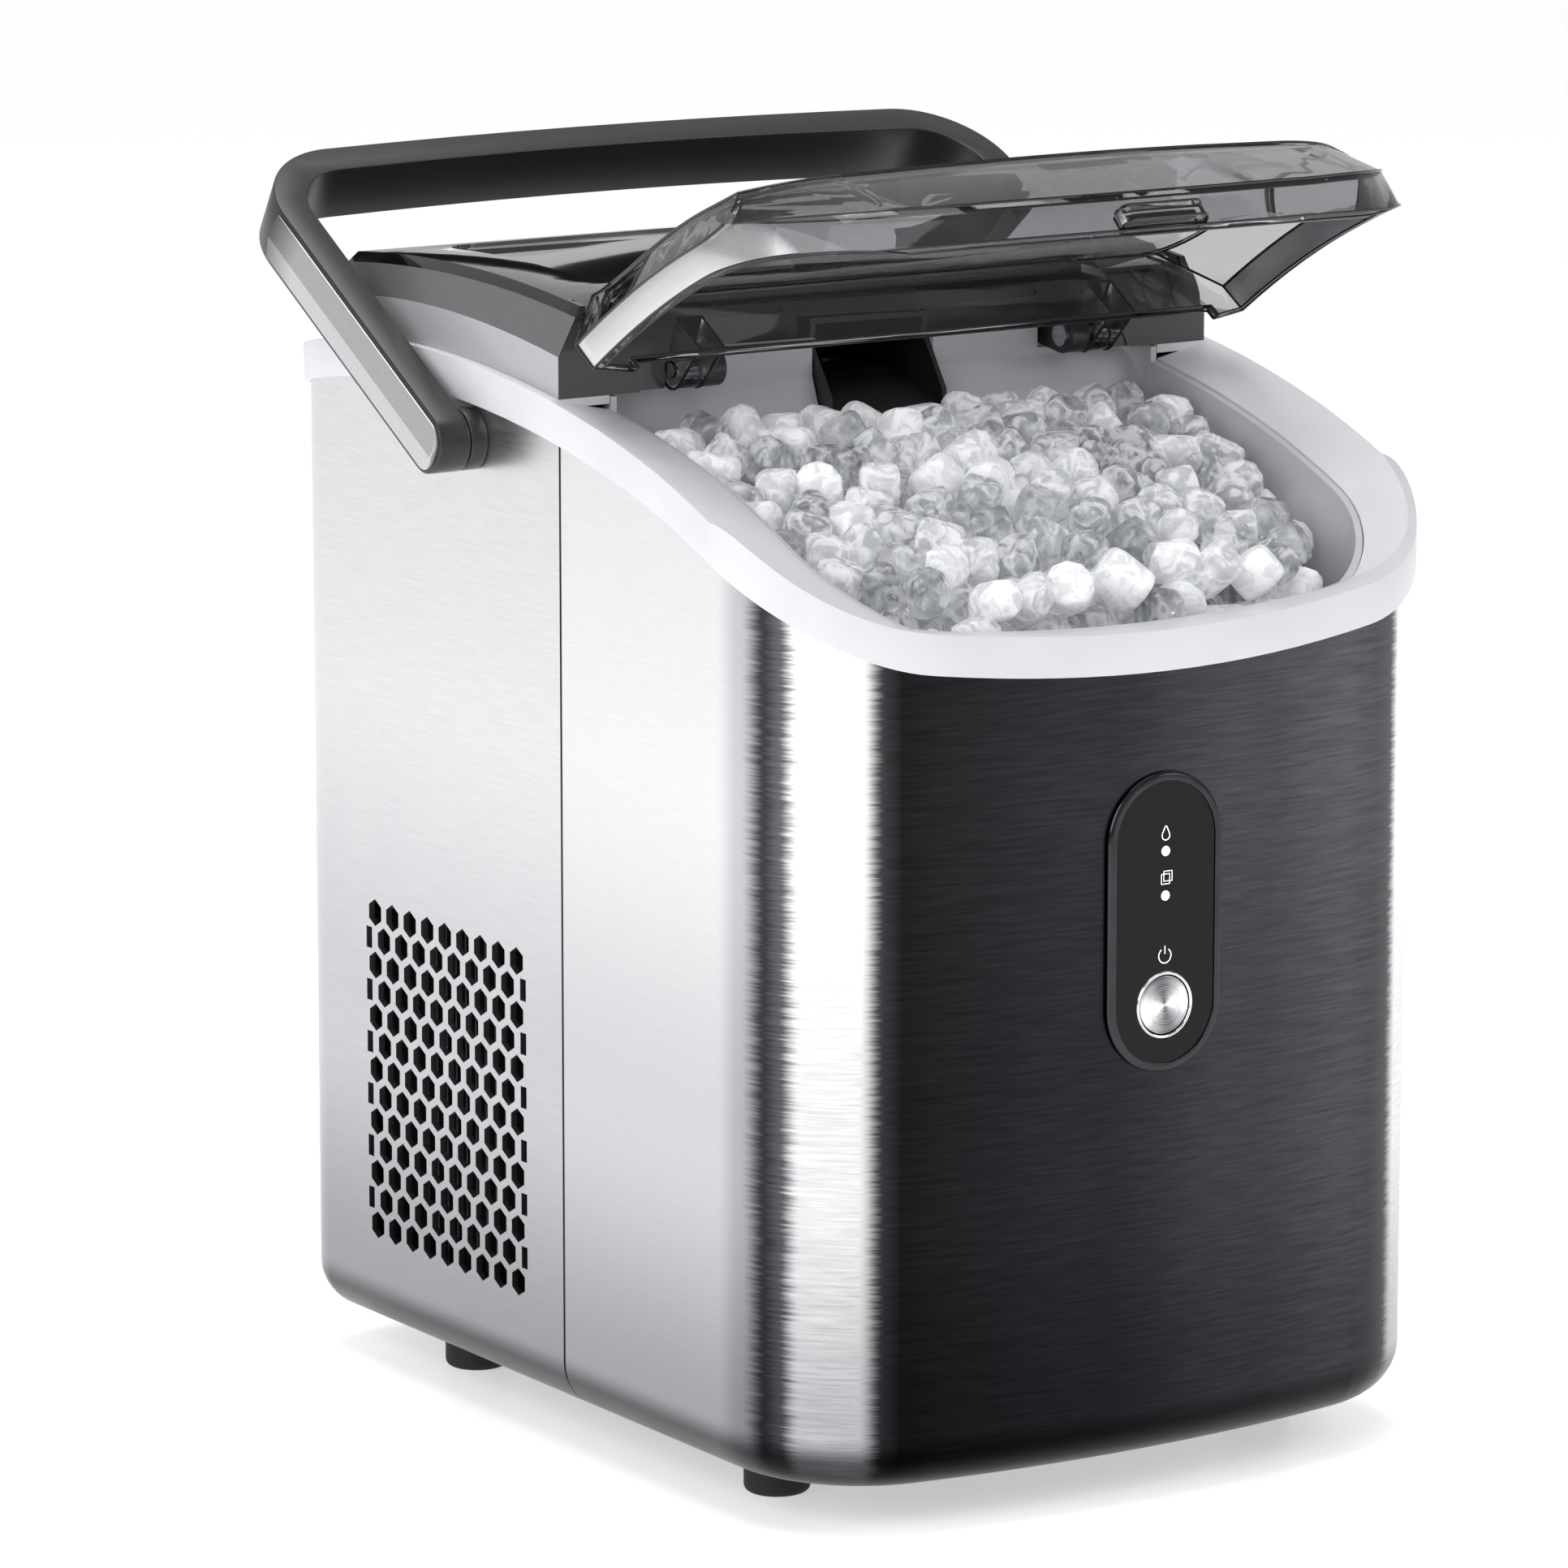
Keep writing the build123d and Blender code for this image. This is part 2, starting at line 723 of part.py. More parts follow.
# ---- Lid -------------------------------------------------------------------------
def lid_nose_level(x):
    """Height of the front facet's surface, carried to a plane in front of the lid."""
    edge = min(abs(x), lid_half)
    here = front_y(edge, lid_half, lid_front, bow_radius, lid_corner)
    foot = min(ledge_level(x * rim_half / lid_half) + lid_nose_skirt, crown(here) + lid_nose_skirt)
    return foot - lid_nose_rise * (here + lid_front)


def rear_edge_profile(forward):
    """Side profile of the space in front of the lid's rear edge, moved forward."""
    (foot_y, foot_z), (head_y, head_z) = lid_rear_foot, lid_rear_head
    slope = (head_y - foot_y) / (head_z - foot_z)
    low, high = foot_z - 100, head_z + 30
    with BuildSketch() as profile:
        with BuildLine():
            Polyline(
                (foot_y - forward + slope * (low - foot_z), low),
                (foot_y - forward + slope * (high - foot_z), high),
                (-lid_front - 20, high), (-lid_front - 20, low), close=True,
            )
        make_face()
    return profile.sketch


def lid_form(inset, rear_inset):
    """The closed lid's outer form, shrunk by inset."""
    plan = outline(lid_half - inset, lid_front - inset, 10, bow_radius - inset, lid_corner - inset, 1)
    with BuildSketch() as top_profile:
        with BuildLine():
            top = Spline(*[(y, z - inset) for y, z in lid_top_stations])
            Polyline(top @ 1, (lid_top_stations[-1][0], 200), (lid_top_stations[0][0], 200), top @ 0)
        make_face()
    nose_start = lid_front + 2
    drop = inset * sqrt(1 + lid_nose_rise**2) + lid_nose_rise * (nose_start - lid_front)
    with BuildPart() as nose:
        with BuildSketch(Plane.XZ.offset(nose_start)):
            add(nose_profile(lambda x: lid_nose_level(x) - drop, lid_half, underground))
        extrude(amount=600, dir=(0, 1, lid_nose_rise))
    with BuildPart() as form:
        add(prism(plan, 200, sky))
        add(across(top_profile.sketch, lid_half), mode=Mode.INTERSECT)
        side_drop = inset * sqrt(1 + lid_side_rise**2)
        add(under_facets(lid_skirt - side_drop, lid_half, lid_side_rise), mode=Mode.INTERSECT)
        add(nose.part, mode=Mode.INTERSECT)
        add(across(rear_edge_profile(rear_inset), lid_half), mode=Mode.INTERSECT)
    return form.part


with BuildPart() as lid_hollow:
    add(lid_form(lid_wall, lid_wall))
with BuildPart() as lid:
    add(lid_form(0, 0))
    add(lid_hollow.part, mode=Mode.SUBTRACT)
    add(above_ledge(lid_seat_gap), mode=Mode.INTERSECT)
    with Locations((0, lid_rear_foot[0], lid_rear_foot[1])):
        Box(
            2 * (lid_half - lid_rear_leg), 10 * lid_wall, 60,
            align=(Align.CENTER, Align.CENTER, Align.MAX), mode=Mode.SUBTRACT,
        )
    with BuildSketch(Plane.XY.offset(ledge_level(0) + lid_seat_gap + 1)):
        with Locations((0, -lid_front - lip_depth)):
            RectangleRounded(2 * lip_half, 2 * lip_depth, 3.0, align=(Align.CENTER, Align.MIN))
    extrude(amount=lip_height)
    for side in (-1, 1):
        with BuildSketch(Plane.YZ.offset(side * (knuckle_start + knuckle_end) / 2)):
            with BuildLine():
                Polyline(
                    (hinge_y, hinge_z - knuckle_radius), (hinge_y, hinge_z + knuckle_radius),
                    (lid_rear_head[0] - 4.2, hinge_z + knuckle_radius + 3),
                    (lid_rear_foot[0] + 0.6, hinge_z - knuckle_radius), close=True,
                )
            make_face()
            with Locations((hinge_y, hinge_z)):
                Circle(knuckle_radius)
        extrude(amount=(knuckle_end - knuckle_start) / 2, both=True)
    with BuildSketch(Plane.YZ):
        with Locations((hinge_y, hinge_z)):
            Circle(hinge_pin_radius + hinge_pin_fit)
    extrude(amount=knuckle_end + 5, both=True, mode=Mode.SUBTRACT)
hinge_axis = Axis((0, hinge_y, hinge_z), (-1, 0, 0))
lid.part = lid.part.rotate(hinge_axis, lid_open_angle)
lid.part.label = "lid"
export_step(lid.part, "parts/lid.step")

# ---- Handle ----------------------------------------------------------------------
lean = radians(handle_lean)
pivot = (0, handle_y, handle_z)
handle_plane = Plane(origin=pivot, x_dir=(1, 0, 0), z_dir=(0, -sin(lean), cos(lean)))
arm_section = Plane(origin=pivot, x_dir=(1, 0, 0), z_dir=(0, cos(lean), sin(lean)))
arm_end = handle_height / 2
arm_inner = handle_half - handle_bar


def bail_outline(half, reach, corner):
    """The bail's outline in its own plane: two arms and an arched crossbar."""
    with BuildSketch() as bail:
        with BuildLine():
            ThreePointArc((-half, reach), (0, reach + handle_arch), (half, reach))
            Polyline((half, reach), (half, -arm_end), (-half, -arm_end), (-half, reach))
        make_face()
        fillet(bail.vertices().group_by(Axis.Y)[-1], corner)
    return bail.sketch


inner_bail = bail_outline(arm_inner, handle_reach - handle_bar, handle_corner - handle_bar)
with BuildPart() as handle_bail:
    with BuildSketch(handle_plane):
        add(bail_outline(handle_half, handle_reach, handle_corner))
        add(inner_bail, mode=Mode.SUBTRACT)
    extrude(amount=handle_height / 2, both=True)
    fillet(
        handle_bail.edges().filter_by(Axis.X).filter_by(lambda edge: edge.center().Y < handle_y + 5),
        handle_height / 2 - 0.2,
    )
    with BuildSketch(Plane.YZ):
        with Locations((handle_y, handle_z)):
            Circle(pivot_radius)
    extrude(amount=handle_half - 2.5, both=True, mode=Mode.SUBTRACT)
handle_bail.part.label = "handle_bail"
export_step(handle_bail.part, "parts/handle_bail.step")

with BuildPart() as trim:
    with BuildSketch(arm_section.offset(-arm_end + 2)):
        with BuildLine():
            Polyline(
                (-handle_half, -trim_height / 2), (-handle_half - trim_edge, -trim_height / 2),
                (-handle_half - trim_ridge, 0), (-handle_half - trim_edge, trim_height / 2),
                (-handle_half, trim_height / 2), close=True,
            )
        make_face()
    extrude(amount=trim_length)
    fillet(trim.edges().filter_by(Axis.X).filter_by(lambda edge: edge.center().Y < handle_y + 5), 6.0)
trim.part.label = "handle_trim_left"
export_step(trim.part, "parts/handle_trim_left.step")
handle_trim_right = trim.part.mirror(Plane.YZ)
handle_trim_right.label = "handle_trim_right"
export_step(handle_trim_right, "parts/handle_trim_right.step")

bush_inside = half_width - shell_wall - 2.6
with BuildPart() as bush:
    with BuildSketch(Plane.YZ.offset(half_width)):
        with Locations((handle_y, handle_z)):
            Circle(bush_radius)
    extrude(amount=arm_inner - side_play - half_width)
    with BuildSketch(Plane.YZ.offset(bush_inside)):
        with Locations((handle_y, handle_z)):
            Circle(bush_sleeve)
    extrude(amount=half_width - bush_inside)
    with BuildSketch(Plane.YZ.offset(bush_inside - 1)):
        with Locations((handle_y, handle_z)):
            Circle(pivot_radius + pivot_fit)
    extrude(amount=arm_inner - bush_inside + 2, mode=Mode.SUBTRACT)
pivot_bushes = both_sides(bush.part)
pivot_bushes.label = "pivot_bushes"
export_step(pivot_bushes, "parts/pivot_bushes.step")

with BuildPart() as screw:
    with BuildSketch(Plane.YZ.offset(bush_inside - side_play - 2.4)):
        with Locations((handle_y, handle_z)):
            Circle(bush_sleeve + 1.5)
    extrude(amount=2.4)
    with BuildSketch(Plane.YZ.offset(bush_inside - side_play)):
        with Locations((handle_y, handle_z)):
            Circle(pivot_radius)
    extrude(amount=handle_half - 2.5 - bush_inside + side_play)
pivot_screws = both_sides(screw.part)
pivot_screws.label = "pivot_screws"
export_step(pivot_screws, "parts/pivot_screws.step")


# ---- Control panel ---------------------------------------------------------------
def front_disc(radius, height):
    """A disc on the front face's centre line, as a sketch in the XZ plane."""
    with BuildSketch() as disc:
        with Locations((0, height)):
            Circle(radius)
    return disc.sketch


def capsule(shrink):
    """The panel's capsule outline, shrunk by shrink, as a sketch in the XZ plane."""
    with BuildSketch() as slot:
        with Locations((0, panel_z)):
            SlotOverall(panel_height - 2 * shrink, panel_width - 2 * shrink, rotation=90)
    return slot.sketch


def forward(profile, front, back):
    """A front-view sketch extruded between two depths."""
    with BuildPart() as solid:
        with BuildSketch(Plane.XZ.offset(-front)):
            add(profile)
        extrude(amount=front - back)
    return solid.part


bezel_seat = -half_depth - 0.05
face_inset = bezel_band
ring_inner = button_radius + button_gap
ring_outer = ring_inner + ring_band
flange_radius = ring_outer - 0.2

button_hole = ring_outer + 0.7

with BuildPart() as panel_bezel:
    add(forward(capsule(0), bezel_front, bezel_seat))
    chamfer(panel_bezel.faces().sort_by(Axis.Y)[0].edges(), 0.8)
    add(forward(capsule(2.2), bezel_seat, bezel_back))
    add(forward(capsule(face_inset), bezel_front - 1, face_back), mode=Mode.SUBTRACT)
    add(forward(capsule(face_inset + 1.2), bezel_front - 1, bezel_back - bezel_web), mode=Mode.SUBTRACT)
    add(forward(front_disc(button_hole, button_z), face_back, bezel_back + 1), mode=Mode.SUBTRACT)
    for height in led_heights:
        add(forward(front_disc(led_hole, height), face_back, bezel_back + 1), mode=Mode.SUBTRACT)
    with BuildSketch(Plane.XZ.offset(-bezel_back)):
        for height in post_heights:
            with Locations((board_half - 3.5, height), (3.5 - board_half, height)):
                Circle(2.2)
    extrude(amount=bezel_back - board_y)
panel_bezel.part.label = "panel_bezel"
export_step(panel_bezel.part, "parts/panel_bezel.step")

with BuildPart() as panel_face:
    add(forward(capsule(face_inset), panel_face_y, face_back))
    add(forward(front_disc(ring_outer, button_z), panel_face_y - 1, face_back + 1), mode=Mode.SUBTRACT)
    for height in led_heights:
        add(forward(front_disc(led_radius, height), panel_face_y - 1, face_back + 1), mode=Mode.SUBTRACT)
panel_face.part.label = "panel_face"
export_step(panel_face.part, "parts/panel_face.step")

with BuildPart() as led_windows:
    for height in led_heights:
        add(forward(front_disc(led_radius, height), panel_face_y - 0.1, led_back))
led_windows.part.label = "led_windows"
export_step(led_windows.part, "parts/led_windows.step")

with BuildPart() as button_ring:
    add(forward(front_disc(ring_outer, button_z), ring_front, ring_back))
    add(forward(front_disc(ring_inner, button_z), ring_front - 1, ring_back + 1), mode=Mode.SUBTRACT)
    chamfer(button_ring.faces().sort_by(Axis.Y)[0].edges(), 0.25)
button_ring.part.label = "button_ring"
export_step(button_ring.part, "parts/button_ring.step")

with BuildPart() as power_button:
    add(forward(front_disc(button_radius, button_z), button_front, flange_front))
    fillet(power_button.faces().sort_by(Axis.Y)[0].edges(), 0.5)
    add(forward(front_disc(flange_radius, button_z), flange_front, flange_back))
    add(forward(front_disc(stem_radius, button_z), flange_back, stem_end))
power_button.part.label = "power_button"
export_step(power_button.part, "parts/power_button.step")

with BuildPart() as control_board:
    with BuildSketch(Plane.XZ.offset(-board_y)):
        with Locations((0, 166)):
            RectangleRounded(2 * board_half, 76, 2)
    extrude(amount=-board_thickness)
    for height in led_heights:
        add(forward(front_disc(1.5, height), led_back + 0.6, board_y))
    with BuildSketch(Plane.XZ.offset(-board_y - board_thickness)):
        with Locations((0, 190)):
            Rectangle(14, 6)
        with Locations((0, 168)):
            Rectangle(9, 9)
    extrude(amount=-2.4)
control_board.part.label = "control_board"
export_step(control_board.part, "parts/control_board.step")

with BuildPart() as button_switch:
    with BuildSketch(Plane.XZ.offset(-board_y)):
        with Locations((0, button_z)):
            Rectangle(6, 6)
    extrude(amount=3.4)
    add(forward(front_disc(1.6, button_z), stem_end + button_travel + moving_gap, board_y))
button_switch.part.label = "button_switch"
export_step(button_switch.part, "parts/button_switch.step")

spring_front = flange_back + button_travel + moving_gap + spring_wire
spring_length = board_y - spring_wire - spring_front
with BuildPart() as button_spring:
    with BuildLine() as spring_path:
        Helix(
            spring_length / spring_turns, spring_length, spring_radius,
            center=(0, board_y - spring_wire, button_z), direction=(0, -1, 0),
        )
    with BuildSketch(Plane(origin=spring_path.line @ 0, z_dir=spring_path.line % 0)):
        Circle(spring_wire)
    sweep(is_frenet=True)
button_spring.part.label = "button_spring"
export_step(button_spring.part, "parts/button_spring.step")

# ---- Ice bin ---------------------------------------------------------------------


def liner_form(inset, floor):
    """The ice bin's outer form, shrunk by inset: upright sides, sloping front and back."""
    shrink = liner_fit + inset
    front, rear = opening_front - shrink, opening_rear - shrink
    with BuildSketch() as profile:
        with BuildLine():
            Polyline(
                (-front, sky), (-front, liner_waist + waist_drop), (-front + 23, liner_waist),
                (-front + 27, floor), (rear - 10, floor), (rear - 16, back_slope_low),
                (rear, back_slope_high), (rear, sky), close=True,
            )
        make_face()
    with BuildPart() as form:
        add(prism(opening_outline(shrink), floor, sky))
        add(across(profile.sketch, opening_half), mode=Mode.INTERSECT)
    return form.part


with BuildPart() as liner_walls:
    add(liner_form(0, liner_floor))
    add(liner_form(liner_wall, liner_floor + liner_wall), mode=Mode.SUBTRACT)
    add(above_ledge(-0.5), mode=Mode.SUBTRACT)
    with BuildSketch(Plane.YZ):
        with Locations((0, crown_height)):
            Rectangle(4 * opening_front, 2 * (sky - crown_height), align=(Align.CENTER, Align.MIN))
    extrude(amount=opening_half, both=True, mode=Mode.SUBTRACT)
with BuildPart() as back_riser:
    add(liner_form(0, liner_floor))
    add(liner_form(liner_wall, 0), mode=Mode.SUBTRACT)
    with BuildSketch(Plane.XY.offset(back_riser_foot)):
        Rectangle(2 * bracket_start - 4, 2 * opening_rear)
    extrude(amount=liner_top_rear - back_riser_foot, mode=Mode.INTERSECT)
with BuildPart() as chute_hole:
    with BuildSketch(Plane.XY.offset(chute_floor)):
        Rectangle(2 * chute_half, 60)
    extrude(amount=sky)
with BuildPart() as bin_liner:
    add(liner_walls.part)
    add(back_riser.part)
    add(chute_hole.part, mode=Mode.SUBTRACT)
    for side in (-1, 1):
        with Locations((side * (opening_half - liner_fit - liner_wall - rail_width / 2), -60, rail_z - 6)):
            Box(rail_width, 76, 6, align=(Align.CENTER, Align.CENTER, Align.MIN))
bin_liner.part.label = "bin_liner"
export_step(bin_liner.part, "parts/bin_liner.step")

flange_half = opening_half - liner_fit - liner_wall - 0.8
basket_depth = basket_rear - basket_front
basket_middle = (basket_front + basket_rear) / 2
basket_top = rail_z + moving_gap

with BuildPart() as ice_basket:
    with BuildSketch(Plane.XY.offset(basket_floor)):
        with Locations((0, basket_middle)):
            RectangleRounded(2 * basket_half, basket_depth, 12)
    extrude(amount=basket_top + 2 - basket_floor)
    with BuildSketch(Plane.XY.offset(basket_top)):
        with Locations((0, basket_middle)):
            RectangleRounded(2 * flange_half, basket_depth + 6, 14)
    extrude(amount=2.0)
    with BuildSketch(Plane.XY.offset(basket_floor + basket_wall)):
        with Locations((0, basket_middle)):
            RectangleRounded(2 * (basket_half - basket_wall), basket_depth - 2 * basket_wall, 10)
    extrude(amount=100, mode=Mode.SUBTRACT)
    with BuildSketch(Plane.XY.offset(basket_floor - 1)):
        with Locations((0, basket_middle)):
            with GridLocations(26, 9, 6, 7):
                SlotOverall(20, 4)
    extrude(amount=basket_wall + 2, mode=Mode.SUBTRACT)
    with BuildSketch(Plane.YZ):
        with Locations((basket_middle, basket_floor + 36)):
            with GridLocations(14, 9, 5, 4):
                RectangleRounded(4, 6, 1.5)
    extrude(amount=basket_half + 1, both=True, mode=Mode.SUBTRACT)
ice_basket.part.label = "ice_basket"
export_step(ice_basket.part, "parts/ice_basket.step")

with BuildPart() as foam:
    with Locations(((opening_half + half_width - shell_wall) / 2, -50, 130)):
        foam_thickness = half_width - shell_wall - opening_half - 2 * foam_gap
        Box(foam_thickness, 76, 110, align=(Align.CENTER, Align.CENTER, Align.MIN))
bin_insulation = both_sides(foam.part)
bin_insulation.label = "bin_insulation"
export_step(bin_insulation, "parts/bin_insulation.step")

stem_foot = liner_floor + liner_wall
with BuildPart() as float_stem:
    with Locations((*float_place, stem_foot)):
        Cylinder(2.0, 28, align=(Align.CENTER, Align.CENTER, Align.MIN))
        Cylinder(6.0, 1.6, align=(Align.CENTER, Align.CENTER, Align.MIN))
    with Locations((*float_place, stem_foot + 26.5)):
        Cylinder(4.0, 1.5, align=(Align.CENTER, Align.CENTER, Align.MIN))
float_stem.part.label = "float_stem"
export_step(float_stem.part, "parts/float_stem.step")

with BuildPart() as water_float:
    with Locations((*float_place, stem_foot + 2.2)):
        Cylinder(9.0, 11, align=(Align.CENTER, Align.CENTER, Align.MIN))
        Cylinder(2.0 + moving_gap, 11, align=(Align.CENTER, Align.CENTER, Align.MIN), mode=Mode.SUBTRACT)
    fillet(water_float.edges().filter_by(GeomType.CIRCLE).group_by(SortBy.RADIUS)[-1], 1.5)
water_float.part.label = "water_float"
export_step(water_float.part, "parts/water_float.step")

with BuildPart() as sensor:
    with BuildSketch(Plane.YZ.offset(opening_half - liner_fit - liner_wall)):
        with Locations((sensor_y, sensor_z)):
            Circle(4.5)
    extrude(amount=-1.5)
ice_sensors = both_sides(sensor.part)
ice_sensors.label = "ice_sensors"
export_step(ice_sensors, "parts/ice_sensors.step")

# ---- Freezing column -------------------------------------------------------------
motor_y = column_y + motor_offset
gearbox_top = gearbox_base + gearbox_height
gearbox_depth = gearbox_rear - gearbox_front
wheel_z = gearbox_base + 12
shaft_radius = auger_core
tube_inner = tube_radius - tube_wall
shelf_z = gearbox_base - 3.0


def upright(radius, low, high, y):
    """An upright round bar on the machine's centre line."""
    with BuildPart() as bar:
        with Locations((0, y, low)):
            Cylinder(radius, high - low, align=(Align.CENTER, Align.CENTER, Align.MIN))
    return bar.part


def gear_teeth(teeth, turn):
    """A spur gear's outline with straight-flanked teeth and some backlash."""
    root = (teeth / 2 - 1.25) * gear_module
    tip = (teeth / 2 + 0.9) * gear_module
    with BuildSketch() as gear:
        Circle(root)
        with PolarLocations(0, teeth, start_angle=turn):
            with BuildLine():
                Polyline(
                    (root - 0.4, -0.95 * gear_module), (tip, -0.3 * gear_module),
                    (tip, 0.3 * gear_module), (root - 0.4, 0.95 * gear_module), close=True,
                )
            make_face()
    return gear.sketch


with BuildPart() as gearbox_housing:
    with BuildSketch(Plane.XY.offset(gearbox_base)):
        with Locations((0, (gearbox_front + gearbox_rear) / 2)):
            RectangleRounded(2 * gearbox_half, gearbox_rear - gearbox_front, 8)
    extrude(amount=gearbox_height)
    with BuildSketch(Plane.XY.offset(gearbox_base + gearbox_wall)):
        with Locations((0, (gearbox_front + gearbox_rear) / 2)):
            RectangleRounded(
                2 * (gearbox_half - gearbox_wall), gearbox_rear - gearbox_front - 2 * gearbox_wall, 6
            )
    extrude(amount=gearbox_height - 2 * gearbox_wall, mode=Mode.SUBTRACT)
    add(upright(11.0, gearbox_top - gearbox_wall - 1, gearbox_top + 1, column_y), mode=Mode.SUBTRACT)
    shaft_hole = upright(pinion_shaft + 1, gearbox_base - 1, gearbox_base + gearbox_wall + 1, motor_y)
    add(shaft_hole, mode=Mode.SUBTRACT)
gearbox_housing.part.label = "gearbox_housing"
export_step(gearbox_housing.part, "parts/gearbox_housing.step")

with BuildPart() as auger_bearing:
    add(upright(11.0, gearbox_top - gearbox_wall - 5, gearbox_top, column_y))
    add(upright(shaft_radius + pivot_fit, gearbox_base, gearbox_top + 1, column_y), mode=Mode.SUBTRACT)
auger_bearing.part.label = "auger_bearing"
export_step(auger_bearing.part, "parts/auger_bearing.step")

with BuildPart() as auger_wheel:
    with BuildSketch(Plane.XY.offset(wheel_z)):
        with Locations((0, column_y)):
            add(gear_teeth(wheel_teeth, 0))
            Circle(shaft_radius, mode=Mode.SUBTRACT)
    extrude(amount=wheel_width)
auger_wheel.part.label = "auger_wheel"
export_step(auger_wheel.part, "parts/auger_wheel.step")

flight_low = gearbox_top + 8
flight_radius = (auger_radius + auger_core) / 2
with BuildPart() as auger:
    add(upright(shaft_radius, wheel_z - 4, tube_top - 1, column_y))
    add(upright(top_journal, tube_top - 1, head_top - 2, column_y))
    with BuildLine() as flight_path:
        Helix(auger_pitch, auger_pitch * flight_turns, flight_radius, center=(0, column_y, flight_low))
    with BuildSketch(Plane(origin=flight_path.line @ 0, x_dir=(1, 0, 0), z_dir=(0, 1, 0))):
        Rectangle(auger_radius - auger_core + 0.4, 2.4)
    sweep(is_frenet=True)
auger.part.label = "auger"
export_step(auger.part, "parts/auger.step")

with BuildPart() as motor_pinion:
    with BuildSketch(Plane.XY.offset(wheel_z - 1)):
        with Locations((0, motor_y)):
            add(gear_teeth(pinion_teeth, 180 / pinion_teeth))
    extrude(amount=wheel_width + 2)
    add(upright(pinion_shaft, shelf_z - 6, wheel_z, motor_y))
motor_pinion.part.label = "motor_pinion"
export_step(motor_pinion.part, "parts/motor_pinion.step")

with BuildPart() as gear_motor:
    add(upright(motor_radius, shelf_z - motor_length, shelf_z, motor_y))
    chamfer(gear_motor.edges().group_by(Axis.Z)[0], 2)
    add(upright(pinion_shaft + pivot_fit, shelf_z - 8, shelf_z + 1, motor_y), mode=Mode.SUBTRACT)
    add(upright(7, shelf_z - motor_length - 5, shelf_z - motor_length, motor_y))
gear_motor.part.label = "gear_motor"
export_step(gear_motor.part, "parts/gear_motor.step")

coil_low = gearbox_top + 18
coil_radius = tube_radius + pipe_radius + 0.1
with BuildPart() as evaporator_tube:
    add(upright(30.0, gearbox_top, gearbox_top + 4, column_y))
    add(upright(tube_radius, gearbox_top + 4, tube_top, column_y))
    add(upright(tube_inner, gearbox_top - 1, tube_top + 1, column_y), mode=Mode.SUBTRACT)
evaporator_tube.part.label = "evaporator_tube"
export_step(evaporator_tube.part, "parts/evaporator_tube.step")

with BuildPart() as evaporator_coil:
    with BuildLine() as coil_path:
        Helix(coil_pitch, coil_pitch * coil_turns, coil_radius, center=(0, column_y, coil_low))
    with BuildSketch(Plane(origin=coil_path.line @ 0, z_dir=coil_path.line % 0)):
        Circle(pipe_radius)
    sweep(is_frenet=True)
evaporator_coil.part.label = "evaporator_coil"
export_step(evaporator_coil.part, "parts/evaporator_coil.step")

jacket_inner = coil_radius + pipe_radius + 0.4
jacket_outer = jacket_inner + 6.0
with BuildPart() as foam_jacket:
    add(upright(jacket_outer, coil_low + 5, coil_low + coil_pitch * coil_turns - 6, column_y))
    add(upright(jacket_inner, gearbox_top, tube_top, column_y), mode=Mode.SUBTRACT)
foam_jacket.part.label = "foam_jacket"
export_step(foam_jacket.part, "parts/foam_jacket.step")

with BuildPart() as extruder_head:
    add(upright(tube_radius + 3, tube_top, head_top, column_y))
    add(upright(top_journal + pivot_fit, tube_top - 1, head_top + 1, column_y), mode=Mode.SUBTRACT)
    with BuildSketch(Plane.XY.offset(tube_top - 1)):
        with Locations((0, column_y)):
            with PolarLocations(12.5, 6):
                Circle(nozzle_radius)
    extrude(amount=head_top - tube_top + 2, mode=Mode.SUBTRACT)
extruder_head.part.label = "extruder_head"
export_step(extruder_head.part, "parts/extruder_head.step")

chute_outer = chute_half - 0.4
chute_back = column_y + tube_radius + 5
with BuildPart() as ice_chute:
    with BuildSketch(Plane.YZ):
        with BuildLine():
            Polyline(
                (-6, chute_floor + 0.4), (column_y - tube_radius - 5, head_top), (chute_back, head_top),
                (chute_back, chute_roof), (beam_front + 1, chute_roof), (beam_front + 1, chute_roof - 4),
                (-6, chute_floor + 8), close=True,
            )
        make_face()
    extrude(amount=chute_outer, both=True)
    with BuildSketch(Plane.YZ):
        with BuildLine():
            Polyline(
                (-8, chute_floor + chute_wall - 0.1), (column_y - tube_radius - 5, head_top + chute_wall),
                (chute_back - chute_wall, head_top + chute_wall),
                (chute_back - chute_wall, chute_roof - chute_wall),
                (-8, chute_roof - chute_wall), close=True,
            )
        make_face()
    extrude(amount=chute_outer - chute_wall, both=True, mode=Mode.SUBTRACT)
    die_hole = upright(chute_outer - chute_wall - 1, head_top - 1, head_top + chute_wall + 1, column_y)
    add(die_hole, mode=Mode.SUBTRACT)
ice_chute.part.label = "ice_chute"
export_step(ice_chute.part, "parts/ice_chute.step")

